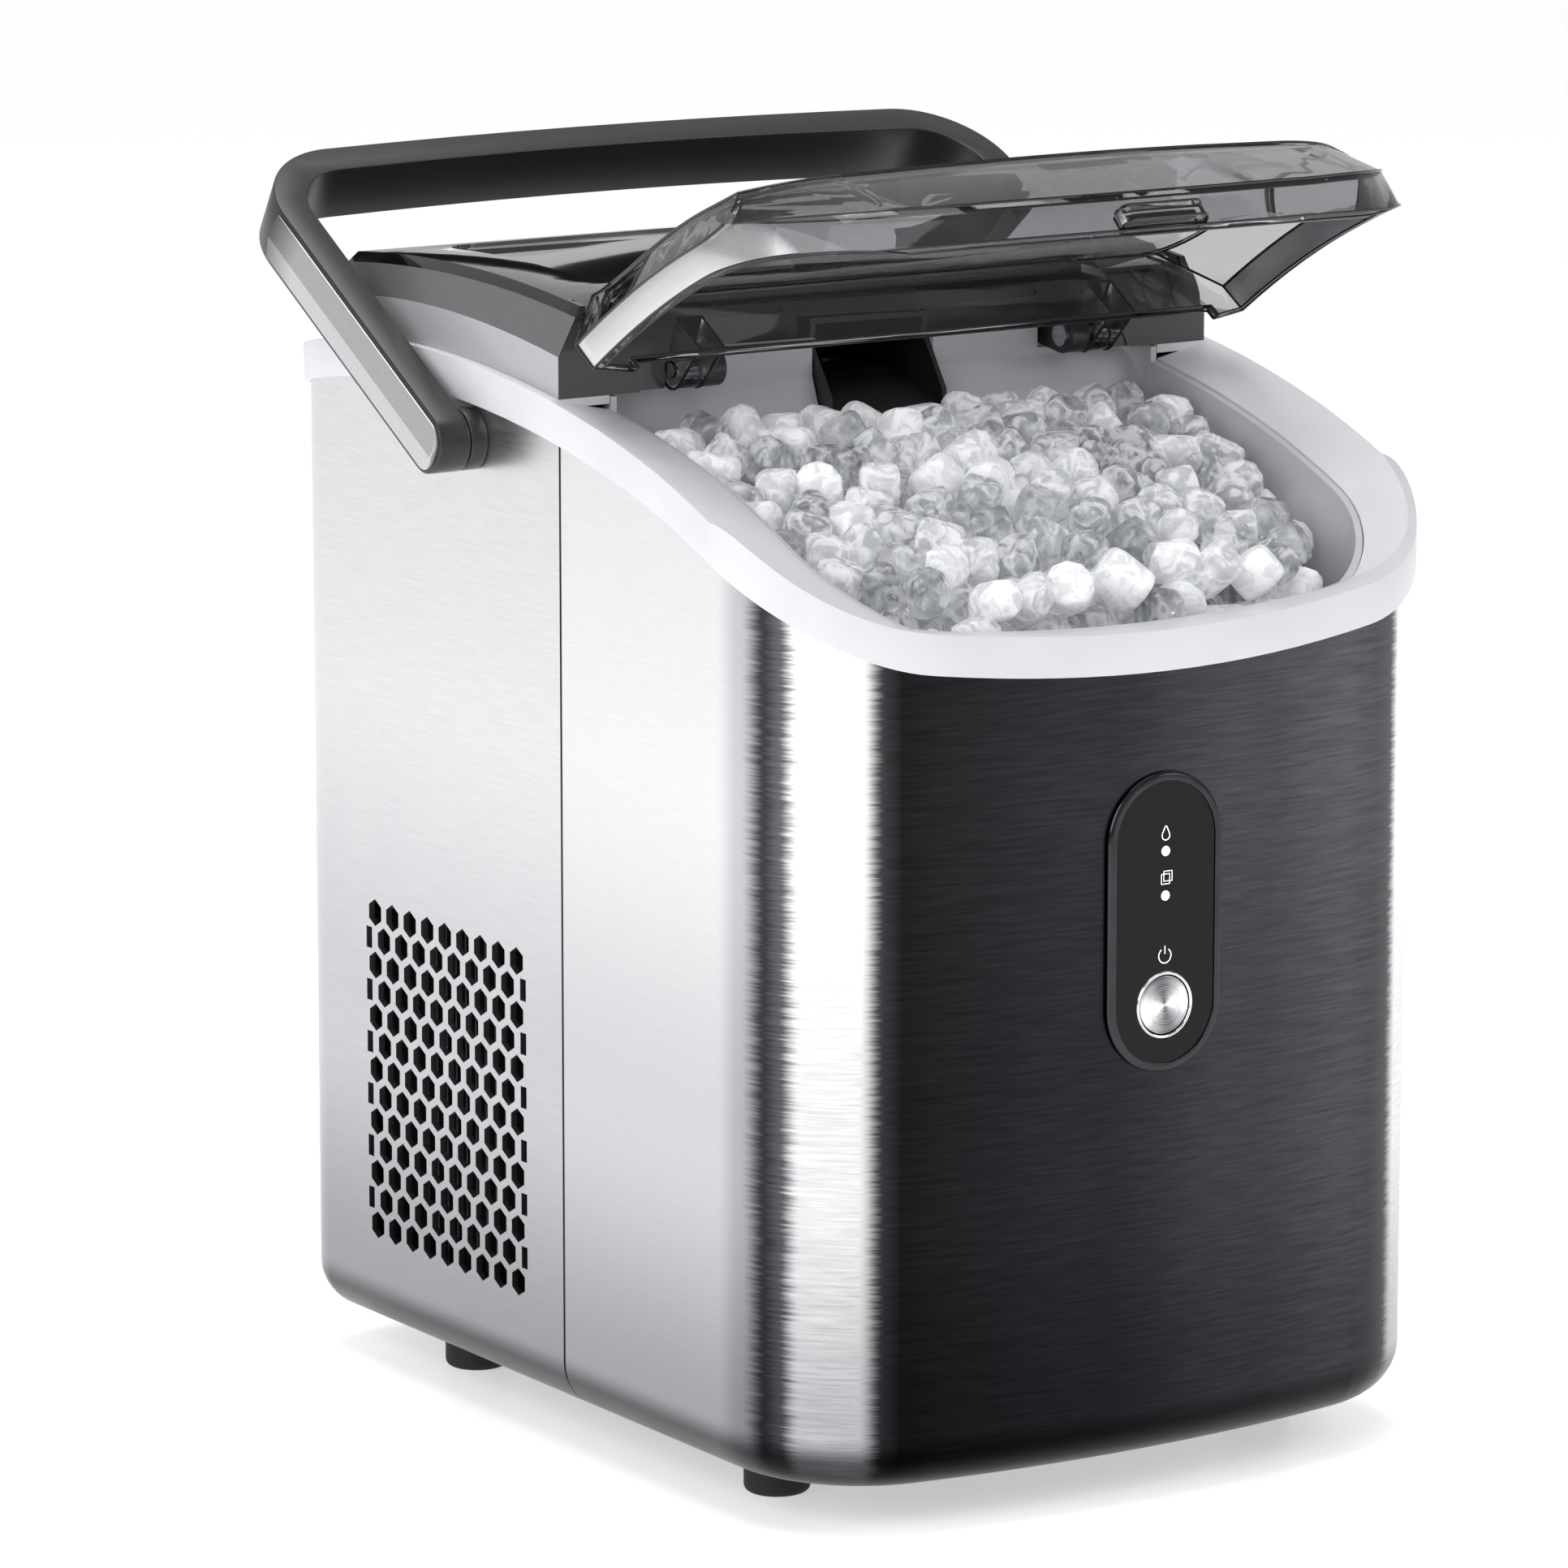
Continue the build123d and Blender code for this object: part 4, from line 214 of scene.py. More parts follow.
# Black-tinted stainless, brushed: dark and level-grained on the face. Round the corner
# the colour holds a painted reflection, a dark strip beside a bright band, ragged along the brush lines.
def build_front_steel(tree):
    lines = brush_lines(tree)
    place = add_node(tree, "ShaderNodeTexCoord")
    parts = add_node(tree, "ShaderNodeSeparateXYZ", {0: place.outputs["Object"]})

    # How far the surface has turned round the corner: 0 on the side, 1 on the face.
    side = add_node(tree, "ShaderNodeMath", {0: parts.outputs[0]}, operation="ABSOLUTE")
    across = add_node(tree, "ShaderNodeMath", {0: side.outputs[0], 1: corner_across}, operation="SUBTRACT")
    ahead = add_node(tree, "ShaderNodeMath", {0: corner_ahead, 1: parts.outputs[1]}, operation="SUBTRACT")
    turn = add_node(tree, "ShaderNodeMath", {
        0: ahead.outputs[0], 1: across.outputs[0],
    }, operation="ARCTAN2")
    share = add_node(tree, "ShaderNodeMath", {0: turn.outputs[0], 1: 2 / math.pi}, operation="MULTIPLY")
    ragged = add_node(tree, "ShaderNodeMapRange", {
        "Value": lines, "From Min": 0.3, "From Max": 0.7, "To Min": -0.02, "To Max": 0.02,
    })
    edge = add_node(tree, "ShaderNodeMath", {0: share.outputs[0], 1: ragged.outputs[0]}, operation="ADD")
    # Silver side, a painted dark strip, a painted bright highlight band, then the black tint of the face.
    tint_and_painted_corner_reflection = add_node(tree, "ShaderNodeValToRGB", {0: edge.outputs[0]}, stops=[
        (0.00, "#e4e4e6"), (0.14, "#c0c0c4"), (0.25, "#3a3a3e"), (0.32, "#5c5c60"),
        (0.40, "#f2f2f2"), (0.62, "#ffffff"), (0.71, "#47474b"), (1.0, "#55555a"),
    ])

    # Painted reflection: the face is painted darkest at its left, beside the bright band, and lighter
    # across to the right.
    crossing = add_node(tree, "ShaderNodeMapRange", {
        "Value": parts.outputs[0], "From Min": -0.075, "From Max": 0.075,
    })
    face = add_node(tree, "ShaderNodeValToRGB", {0: crossing.outputs[0]}, stops=[
        (0.0, "#7c7c7c"), (0.35, "#9c9c9e"), (0.7, "#d4d4d6"), (1.0, "#ffffff"),
    ])
    on_face = add_node(tree, "ShaderNodeMapRange", {
        "Value": share.outputs[0], "From Min": 0.66, "From Max": 0.78,
    })
    tint_and_painted_face_reflection = add_node(tree, "ShaderNodeMix", {
        0: on_face.outputs[0], 6: tint_and_painted_corner_reflection.outputs[0], 7: face.outputs[0],
    }, data_type="RGBA", blend_type="MULTIPLY")

    # Brush lines streak the colour, more so on the dark face.
    swing = add_node(tree, "ShaderNodeMapRange", {
        "Value": share.outputs[0], "From Max": 0.8, "To Min": 0.1, "To Max": 0.7,
    })
    centred = add_node(tree, "ShaderNodeMath", {0: lines, 1: 0.5}, operation="SUBTRACT")
    streak = add_node(tree, "ShaderNodeMath", {
        0: centred.outputs[0], 1: swing.outputs[0], 2: 1.0,
    }, operation="MULTIPLY_ADD")
    strong = add_node(tree, "ShaderNodeMath", {0: streak.outputs[0], 1: 2.0}, operation="POWER")
    streaked = add_node(tree, "ShaderNodeVectorMath", {
        0: tint_and_painted_face_reflection.outputs[2], "Scale": strong.outputs[0],
    }, operation="SCALE")
    colour = add_node(tree, "ShaderNodeVectorMath", {
        0: streaked.outputs[0], 1: painted_shade_by_height(tree, parts),
    }, operation="MULTIPLY")
    rough = add_node(tree, "ShaderNodeMapRange", {
        "Value": lines, "From Min": 0.3, "From Max": 0.7, "To Min": 0.27, "To Max": 0.36,
    })
    bump = add_node(tree, "ShaderNodeBump", {"Height": lines, "Strength": 0.05, "Distance": 0.0001})
    return add_node(tree, "ShaderNodeBsdfPrincipled", {
        "Base Color": colour.outputs[0], "Metallic": 1.0, "Roughness": rough.outputs[0],
        "Normal": bump.outputs[0],
    })


# Plain stainless with the same brushing: silvery, with hardly any grain to be seen.
def build_rear_steel(tree):
    lines = brush_lines(tree)
    place = add_node(tree, "ShaderNodeTexCoord")
    parts = add_node(tree, "ShaderNodeSeparateXYZ", {0: place.outputs["Object"]})
    silver = add_node(tree, "ShaderNodeValToRGB", {0: lines}, stops=[(0.2, "#d6d6d9"), (0.8, "#e2e2e4")])
    colour = add_node(tree, "ShaderNodeVectorMath", {
        0: silver.outputs[0], 1: painted_shade_by_height(tree, parts),
    }, operation="MULTIPLY")
    rough = add_node(tree, "ShaderNodeMapRange", {
        "Value": lines, "From Min": 0.3, "From Max": 0.7, "To Min": 0.27, "To Max": 0.33,
    })
    return add_node(tree, "ShaderNodeBsdfPrincipled", {
        "Base Color": colour.outputs[0], "Metallic": 1.0, "Roughness": rough.outputs[0],
    })


finished = set()


def finish_with(finish, *names):
    """Gives CAD pieces one finish."""
    finished.update(names)
    for name in names:
        mesh = nodes[name].data
        mesh.materials.clear()
        mesh.materials.append(finish)


def eased(name, width, finish, body="cabinet", sharp=28, steps=3, crease=35):
    """A copy of a CAD piece with its sharp edges rounded off, which stands for it."""
    mesh = nodes[name].data.copy()
    form = bmesh.new()
    form.from_mesh(mesh)
    bmesh.ops.remove_doubles(form, verts=form.verts, dist=0.00001)
    bmesh.ops.dissolve_limit(form, angle_limit=math.radians(0.3), verts=form.verts, edges=form.edges)
    form.to_mesh(mesh)
    form.free()
    mesh.materials.clear()
    mesh.materials.append(finish)
    mesh.polygons.foreach_set("material_index", [0] * len(mesh.polygons))
    piece = bpy.data.objects.new(name + "_moulding", mesh)
    bpy.context.scene.collection.objects.link(piece)
    rounding = piece.modifiers.new("rounding", "BEVEL")
    rounding.width = width
    rounding.segments = steps
    rounding.limit_method = "ANGLE"
    rounding.angle_limit = math.radians(sharp)
    made = bpy.data.meshes.new_from_object(piece.evaluated_get(bpy.context.evaluated_depsgraph_get()))
    piece.modifiers.clear()
    piece.data = made
    made.shade_smooth()
    made.set_sharp_from_angle(angle=math.radians(crease))
    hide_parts(name)
    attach(piece, body)
    return piece


def new_piece(name, mesh, body="cabinet", smooth=True):
    """A Blender piece from a mesh that is already in place."""
    piece = bpy.data.objects.new(name, mesh)
    bpy.context.scene.collection.objects.link(piece)
    if smooth:
        mesh.shade_smooth()
        mesh.set_sharp_from_angle(angle=math.radians(35))
    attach(piece, body)
    return piece


front_steel = material("black_tinted_stainless_brushed", build_front_steel)
rear_steel = material("stainless_brushed", build_rear_steel)
finish_with(front_steel, "front_shell")
finish_with(rear_steel, "rear_shell")


# ---- Moulded plastics ---------------------------------------------------------
# Injection-moulded ABS in several shades. A fine spark-eroded grain in the mould
# gives the satin ones a soft, slightly uneven sheen.
def moulded(name, shade, darker, roughness, grain_size=0.0008, coat=0.0, metallic=0.0, gloss=0.5):
    """A satin moulded plastic with a fine grain."""
    def build(tree):
        place = add_node(tree, "ShaderNodeTexCoord")
        grain = add_node(tree, "ShaderNodeTexNoise", {
            "Vector": place.outputs["Object"], "Scale": 1 / grain_size, "Detail": 2.0,
        })
        cloud = add_node(tree, "ShaderNodeTexNoise", {
            "Vector": place.outputs["Object"], "Scale": 35.0, "Detail": 2.0,
        })
        colour = add_node(tree, "ShaderNodeValToRGB", {0: cloud.outputs[0]}, stops=[
            (0.3, darker), (0.7, shade),
        ])
        rough = add_node(tree, "ShaderNodeMapRange", {
            "Value": grain.outputs[0], "From Min": 0.3, "From Max": 0.7,
            "To Min": max(roughness - 0.03, 0.02), "To Max": roughness + 0.03,
        })
        bump = add_node(tree, "ShaderNodeBump", {
            "Height": grain.outputs[0], "Strength": 0.05, "Distance": 0.0001,
        })
        return add_node(tree, "ShaderNodeBsdfPrincipled", {
            "Base Color": colour.outputs[0], "Roughness": rough.outputs[0], "Normal": bump.outputs[0],
            "Coat Weight": coat, "Coat Roughness": 0.04, "Metallic": metallic,
            "Specular IOR Level": gloss,
        })
    return material(name, build)


# Satin mouldings take a soft, even sheen. The polished ones mirror the room sharply,
# and the rubber hardly shines.
light_abs = moulded("light_grey_abs_moulded", "#d8d9dc", "#d3d4d8", 0.36)
liner_abs = moulded("pale_grey_abs_moulded", "#c4c5c9", "#bfc0c4", 0.42)
black_abs = moulded("black_abs_satin", "#232325", "#1f1f21", 0.34)
gloss_abs = moulded("black_abs_polished", "#0b0b0c", "#090909", 0.06, coat=1.0)
face_gloss = moulded("black_acrylic_polished", "#060607", "#050505", 0.05, gloss=0.2)
rubber = moulded("black_rubber_moulded", "#161616", "#111111", 0.7)
eased("top_rim", 0.0012, light_abs)
finish_with(liner_abs, "bin_liner", "float_stem", "water_float")
finish_with(black_abs, "hinge_beam", "hinge_brackets", "ice_chute", "pivot_screws", "base_pan")
eased("rubber_feet", 0.0008, rubber)
finish_with(rubber, "drain_plug", "compressor_grommets", "water_hoses")


# ---- Rear cover ---------------------------------------------------------------
# A moulding in grey metallic paint, darker grey on its upward-sloping faces, whose ears
# have black front faces, with a polished black panel let into its top.
def build_cover(tree):
    face = add_node(tree, "ShaderNodeNewGeometry")
    facing = add_node(tree, "ShaderNodeSeparateXYZ", {0: face.outputs["Normal"]})
    place = add_node(tree, "ShaderNodeTexCoord")
    flake = add_node(tree, "ShaderNodeTexNoise", {
        "Vector": place.outputs["Object"], "Scale": 2500.0, "Detail": 1.0,
    })
    lower = add_node(tree, "ShaderNodeValToRGB", {0: flake.outputs[0]}, stops=[
        (0.3, "#a3a3a7"), (0.7, "#adadb1"),
    ])
    upper = add_node(tree, "ShaderNodeValToRGB", {0: flake.outputs[0]}, stops=[
        (0.3, "#59595c"), (0.7, "#626265"),
    ])
    sloping = add_node(tree, "ShaderNodeMath", {0: facing.outputs[2], 1: 0.2}, operation="GREATER_THAN")
    greys = add_node(tree, "ShaderNodeMix", {
        0: sloping.outputs[0], 6: lower.outputs[0], 7: upper.outputs[0],
    }, data_type="RGBA")
    ahead = add_node(tree, "ShaderNodeMath", {0: facing.outputs[1], 1: -0.75}, operation="LESS_THAN")
    eared = add_node(tree, "ShaderNodeMix", {
        0: ahead.outputs[0], 6: greys.outputs[2], 7: linear("#262529"),
    }, data_type="RGBA")
    above = add_node(tree, "ShaderNodeMath", {0: facing.outputs[2], 1: 0.8}, operation="GREATER_THAN")
    topped = add_node(tree, "ShaderNodeMix", {
        0: above.outputs[0], 6: eared.outputs[2], 7: linear("#0c0c0d"),
    }, data_type="RGBA")
    rough = add_node(tree, "ShaderNodeMapRange", {
        "Value": facing.outputs[2], "From Min": 0.75, "From Max": 0.85, "To Min": 0.32, "To Max": 0.1,
    })
    return add_node(tree, "ShaderNodeBsdfPrincipled", {
        "Base Color": topped.outputs[2], "Roughness": rough.outputs[0],
        "Coat Weight": 0.35, "Coat Roughness": 0.12,
    })


cover_paint = material("grey_metallic_paint", build_cover)
finish_with(cover_paint, "rear_cover")
eased("cover_top_panel", 0.0006, gloss_abs)


# ---- Handle -------------------------------------------------------------------
# One black moulding bent from arm to arm, with a ridged silver strip bonded to the
# outside of each arm. The strip's plating fades out towards the bend.
# Satin plating over plastic: a silver with a soft shine and no sharp reflections.
arm_lean = math.radians(30.5)  # of the handle's arms, folded back
arm_foot = (0.038, 0.288)  # y and z of the pivots
fade_start, fade_end = 0.083, 0.104  # along the arm from its pivot


def build_silver_trim(tree):
    place = add_node(tree, "ShaderNodeTexCoord")
    along = add_node(tree, "ShaderNodeVectorMath", {
        0: place.outputs["Object"], 1: (0.0, math.cos(arm_lean), math.sin(arm_lean)),
    }, operation="DOT_PRODUCT")
    start = arm_foot[0] * math.cos(arm_lean) + arm_foot[1] * math.sin(arm_lean)
    fade = add_node(tree, "ShaderNodeMapRange", {
        "Value": along.outputs["Value"], "From Min": start + fade_start, "From Max": start + fade_end,
    })
    flake = add_node(tree, "ShaderNodeTexNoise", {
        "Vector": place.outputs["Object"], "Scale": 1800.0, "Detail": 1.0,
    })
    silver = add_node(tree, "ShaderNodeValToRGB", {0: flake.outputs[0]}, stops=[
        (0.3, "#b4b4b7"), (0.7, "#bebec1"),
    ])
    colour = add_node(tree, "ShaderNodeMix", {
        0: fade.outputs[0], 6: silver.outputs[0], 7: linear("#202022"),
    }, data_type="RGBA")
    return add_node(tree, "ShaderNodeBsdfPrincipled", {
        "Base Color": colour.outputs[2], "Metallic": 0.6, "Roughness": 0.3,
    })


trim_silver = material("silver_satin_plating", build_silver_trim)
eased("handle_bail", 0.0012, black_abs, body="handle")
eased("handle_trim_left", 0.0003, trim_silver, body="handle", steps=2, crease=6)
eased("handle_trim_right", 0.0003, trim_silver, body="handle", steps=2, crease=6)
eased("pivot_bushes", 0.0008, black_abs)


# ---- Control panel ------------------------------------------------------------
# A black chromed bezel holds a polished face with two signal lights, three printed
# signs and a push button turned from aluminium inside a bright ring.
# Black chrome and bright chrome are plated and polished, with a faint haze of wear.
def plated(name, haze_scale, shades, smoothest, roughest):
    """Polished plating in two near shades."""
    def build(tree):
        place = add_node(tree, "ShaderNodeTexCoord")
        haze = add_node(tree, "ShaderNodeTexNoise", {
            "Vector": place.outputs["Object"], "Scale": haze_scale, "Detail": 2.0,
        })
        colour = add_node(tree, "ShaderNodeValToRGB", {0: haze.outputs[0]}, stops=[
            (0.3, shades[0]), (0.7, shades[1]),
        ])
        rough = add_node(tree, "ShaderNodeMapRange", {
            "Value": haze.outputs[0], "From Min": 0.3, "From Max": 0.7,
            "To Min": smoothest, "To Max": roughest,
        })
        return add_node(tree, "ShaderNodeBsdfPrincipled", {
            "Base Color": colour.outputs[0], "Metallic": 1.0, "Roughness": rough.outputs[0],
        })
    return material(name, build)


button_height = 0.1425


def build_spun(tree):
    """Turned aluminium: fine rings, and bright and dark sectors painted in as highlight and shade where
    the rings would catch the light.
    """
    place = add_node(tree, "ShaderNodeTexCoord")
    middle = add_node(tree, "ShaderNodeMapping", {
        "Vector": place.outputs["Object"], "Location": (0.0, 0.0, -button_height),
    })
    parts = add_node(tree, "ShaderNodeSeparateXYZ", {0: middle.outputs[0]})
    turn = add_node(tree, "ShaderNodeMath", {
        0: parts.outputs[2], 1: parts.outputs[0],
    }, operation="ARCTAN2")
    double = add_node(tree, "ShaderNodeMath", {
        0: turn.outputs[0], 1: 2.0, 2: 1.2,
    }, operation="MULTIPLY_ADD")
    wave = add_node(tree, "ShaderNodeMath", {0: double.outputs[0]}, operation="SINE")
    # Painted highlight and shade: two bright and two dark sectors round the button.
    painted_sector_highlight = add_node(tree, "ShaderNodeMapRange", {
        "Value": wave.outputs[0], "From Min": -1.0, "To Max": 0.6,
    })
    flat = add_node(tree, "ShaderNodeCombineXYZ", {0: parts.outputs[0], 1: parts.outputs[2]})
    reach = add_node(tree, "ShaderNodeVectorMath", {0: flat.outputs[0]}, operation="LENGTH")
    rings = add_node(tree, "ShaderNodeTexNoise", {
        "W": reach.outputs["Value"], "Scale": 3000.0, "Detail": 1.0,
    }, noise_dimensions="1D")
    mixed = add_node(tree, "ShaderNodeMath", {
        0: rings.outputs[0], 1: 0.5, 2: painted_sector_highlight.outputs[0],
    }, operation="MULTIPLY_ADD")
    colour = add_node(tree, "ShaderNodeValToRGB", {0: mixed.outputs[0]}, stops=[
        (0.15, "#58585b"), (0.5, "#a8a8ab"), (0.85, "#f4f4f5"),
    ])
    return add_node(tree, "ShaderNodeBsdfPrincipled", {
        "Base Color": colour.outputs[0], "Metallic": 1.0, "Roughness": 0.3,
    })


# White diffusing windows, lit evenly from behind. The printed signs share this finish, so their glow is
# painted light.
def build_light(tree):
    place = add_node(tree, "ShaderNodeTexCoord")
    haze = add_node(tree, "ShaderNodeTexNoise", {
        "Vector": place.outputs["Object"], "Scale": 600.0, "Detail": 1.0,
    })
    colour = add_node(tree, "ShaderNodeValToRGB", {0: haze.outputs[0]}, stops=[
        (0.3, "#eef2f6"), (0.7, "#ffffff"),
    ])
    return add_node(tree, "ShaderNodeBsdfPrincipled", {
        "Base Color": colour.outputs[0], "Roughness": 0.2,
        "Emission Color": linear("#f4f8ff"), "Emission Strength": 1.2,
    })


black_chrome = plated("black_chrome_plated", 60.0, ("#38383b", "#3e3e42"), 0.1, 0.14)
chrome = plated("chrome_plated", 90.0, ("#e2e2e4", "#ececee"), 0.07, 0.1)
spun = material("turned_aluminium", build_spun)
signal_light = material("white_signal_light", build_light)
eased("panel_bezel", 0.0008, black_chrome)
finish_with(face_gloss, "panel_face")
finish_with(signal_light, "led_windows")
eased("button_ring", 0.0002, chrome, steps=2)
eased("power_button", 0.0006, spun, body="button")

sign_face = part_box("panel_face")[0].y
sign_lift = 0.00006
stroke = 0.00028


def flat_loop(form, points, closed=True):
    """Adds a line of constant width through points on the panel's face, as flat faces."""
    count = len(points)
    sides = []
    for index, (x, z) in enumerate(points):
        first, last = index == 0, index == count - 1
        before = points[index - 1] if closed or not first else points[index]
        after = points[(index + 1) % count] if closed or not last else points[index]
        run = Vector((after[0] - before[0], after[1] - before[1])).normalized()
        out = Vector((-run.y, run.x)) * stroke / 2
        sides.append([
            form.verts.new((x + sign * out.x, sign_face - sign_lift, z + sign * out.y)) for sign in (-1, 1)
        ])
    for index in range(count if closed else count - 1):
        (a, b), (c, d) = sides[index], sides[(index + 1) % count]
        form.faces.new((a, b, d, c))


def round_line(middle_z, radius, first=0.0, last=360.0, squeeze=1.0, tip=0.0):
    """Points of an arc on the panel; tip pulls the top up into a drop's point."""
    points = []
    steps = 24
    for index in range(steps + (0 if last - first == 360 else 1)):
        angle = math.radians(first + (last - first) * index / steps)
        rise = tip * max(math.sin(angle), 0) ** 6
        points.append((squeeze * radius * math.cos(angle), middle_z + radius * math.sin(angle) + rise))
    return points


drop_height, drop_radius, drop_tip = 0.1905, 0.0013, 0.0014
cube_height, cube_side, cube_shift = 0.1768, 0.0028, 0.0008
power_height, power_radius = 0.1565, 0.0021
power_bar = (0.1570, 0.1593)

signs = bmesh.new()
flat_loop(signs, round_line(drop_height, drop_radius, tip=drop_tip))
for shift in (0.0, cube_shift):
    left, right = shift - cube_side / 2, shift + cube_side / 2
    low, high = cube_height + shift, cube_height + cube_side + shift
    flat_loop(signs, [(left, low), (right, low), (right, high), (left, high)])
flat_loop(signs, round_line(power_height, power_radius, first=125, last=415), closed=False)
flat_loop(signs, [(0.0, level) for level in power_bar], closed=False)
bmesh.ops.recalc_face_normals(signs, faces=signs.faces)
for face in signs.faces:
    if face.normal.y > 0:
        face.normal_flip()
sign_mesh = bpy.data.meshes.new("panel_signs")
signs.to_mesh(sign_mesh)
signs.free()
# The printed signs take the glowing finish of the signal lights: a painted glow.
sign_mesh.materials.append(signal_light)
new_piece("panel_signs", sign_mesh, smooth=False)


# ---- Lid ----------------------------------------------------------------------
# One moulding of smoked clear polycarbonate, polished in the mould. Its edges carry painted
# dark lines, and its left wall is given a painted silver reflection of the bright room.
def build_smoked(tree):
    place = add_node(tree, "ShaderNodeTexCoord")
    smear = add_node(tree, "ShaderNodeTexNoise", {
        "Vector": place.outputs["Object"], "Scale": 14.0, "Detail": 2.0,
    })
    rough = add_node(tree, "ShaderNodeMapRange", {
        "Value": smear.outputs[0], "From Min": 0.3, "From Max": 0.7, "To Max": 0.02,
    })
    clear = add_node(tree, "ShaderNodeBsdfPrincipled", {
        "Base Color": linear("#c2c2c5"), "Roughness": rough.outputs[0],
        "IOR": 1.12, "Transmission Weight": 1.0, "Coat Weight": 0.5, "Coat Roughness": 0.03,
    })
    # Painted reflection: a silver mirror mixed into the left wall, standing for the bright room.
    painted_silver_reflection = add_node(tree, "ShaderNodeBsdfPrincipled", {
        "Base Color": linear("#e6e6e8"), "Metallic": 1.0, "Roughness": 0.22,
    })
    face = add_node(tree, "ShaderNodeNewGeometry")
    facing = add_node(tree, "ShaderNodeSeparateXYZ", {0: face.outputs["Normal"]})
    painted_glare_share = add_node(tree, "ShaderNodeMapRange", {
        "Value": facing.outputs[0], "From Min": -0.8, "From Max": -0.95, "To Max": 0.75,
    })
    return add_node(tree, "ShaderNodeMixShader", {
        0: painted_glare_share.outputs[0], 1: clear.outputs[0], 2: painted_silver_reflection.outputs[0],
    })


# Painted shade: opaque near-black lines along the sheet's edges, standing for the sheet seen edge on,
# where its smoke adds up to near black.
def build_painted_edge_shade(tree):
    place = add_node(tree, "ShaderNodeTexCoord")
    smear = add_node(tree, "ShaderNodeTexNoise", {
        "Vector": place.outputs["Object"], "Scale": 90.0, "Detail": 2.0,
    })
    colour = add_node(tree, "ShaderNodeValToRGB", {0: smear.outputs[0]}, stops=[
        (0.3, "#0d0d0e"), (0.7, "#161617"),
    ])
    return add_node(tree, "ShaderNodeBsdfPrincipled", {"Base Color": colour.outputs[0], "Roughness": 0.12})


smoked = material("smoked_polycarbonate", build_smoked)
painted_edge_shade = material("lid_painted_edge_shade_finish", build_painted_edge_shade)
eased("lid", 0.0004, smoked, body="lid", sharp=24, steps=2)

edge_line = 0.00042  # radius of the painted dark line along an edge
edge_sides = 6
edge_sharpness = math.radians(24)
sheet = bmesh.new()
sheet.from_mesh(nodes["lid"].data)
bmesh.ops.remove_doubles(sheet, verts=sheet.verts, dist=0.00001)
bmesh.ops.dissolve_limit(sheet, angle_limit=math.radians(0.3), verts=sheet.verts, edges=sheet.edges)
edge_form = bmesh.new()
for edge in sheet.edges:
    if len(edge.link_faces) != 2 or edge.calc_face_angle() < edge_sharpness:
        continue
    start, end = (corner.co.copy() for corner in edge.verts)
    along = (end - start).normalized()
    out = along.orthogonal().normalized()
    up = along.cross(out)
    rings = [[
        edge_form.verts.new(
            point + edge_line * (math.cos(angle) * out + math.sin(angle) * up)
        ) for angle in (2 * math.pi * side / edge_sides for side in range(edge_sides))
    ] for point in (start, end)]
    for side in range(edge_sides):
        following = (side + 1) % edge_sides
        edge_form.faces.new((
            rings[0][side], rings[0][following], rings[1][following], rings[1][side],
        ))
    edge_form.faces.new(rings[0][::-1])
    edge_form.faces.new(rings[1])
sheet.free()
edge_mesh = bpy.data.meshes.new("lid_edge_lines")
edge_form.to_mesh(edge_mesh)
edge_form.free()
edge_mesh.materials.append(painted_edge_shade)
new_piece("lid_edge_lines", edge_mesh, body="lid")


# ---- Ice ----------------------------------------------------------------------
# Chewable nuggets: short rods of pressed ice flakes, clear outside and cloudy
# within, heaped over the basket so that they fill the mouth of the bin.
nugget_radius = 0.0067
nugget_length = 0.0128
nugget_sides = 10
nugget_profile = [  # shares of the radius and of the length, from the top down
    (0.0, 0.5), (0.74, 0.5), (0.93, 0.44), (1.0, 0.3),
    (1.0, -0.3), (0.93, -0.44), (0.74, -0.5), (0.0, -0.5),
]
nugget_spacing = 0.0118
heap_rear = -0.017
heap_front = -0.121
heap_side = 0.085
heap_corner = 0.034
heap_layers = 4
heap_layer_drop = 0.0085
heap_top = 0.291
heap_fall = 0.034
heap_sag = 0.006
heap_crown = 0.006


def heap_level(x, y):
    """Height of the heap's surface."""
    share = (y - heap_rear) / (heap_front - heap_rear)
    crown = heap_crown * (1 - (x / heap_side) ** 2) * min(4 * share, 1.0)
    return heap_top - heap_fall * share - heap_sag * share * share + crown


def heap_width(y):
    """Half width of the heap, rounded at its front corners."""
    beyond = heap_front + heap_corner - y
    if beyond <= 0:
        return heap_side
    return heap_side - heap_corner + math.sqrt(max(heap_corner ** 2 - beyond ** 2, 0.0))


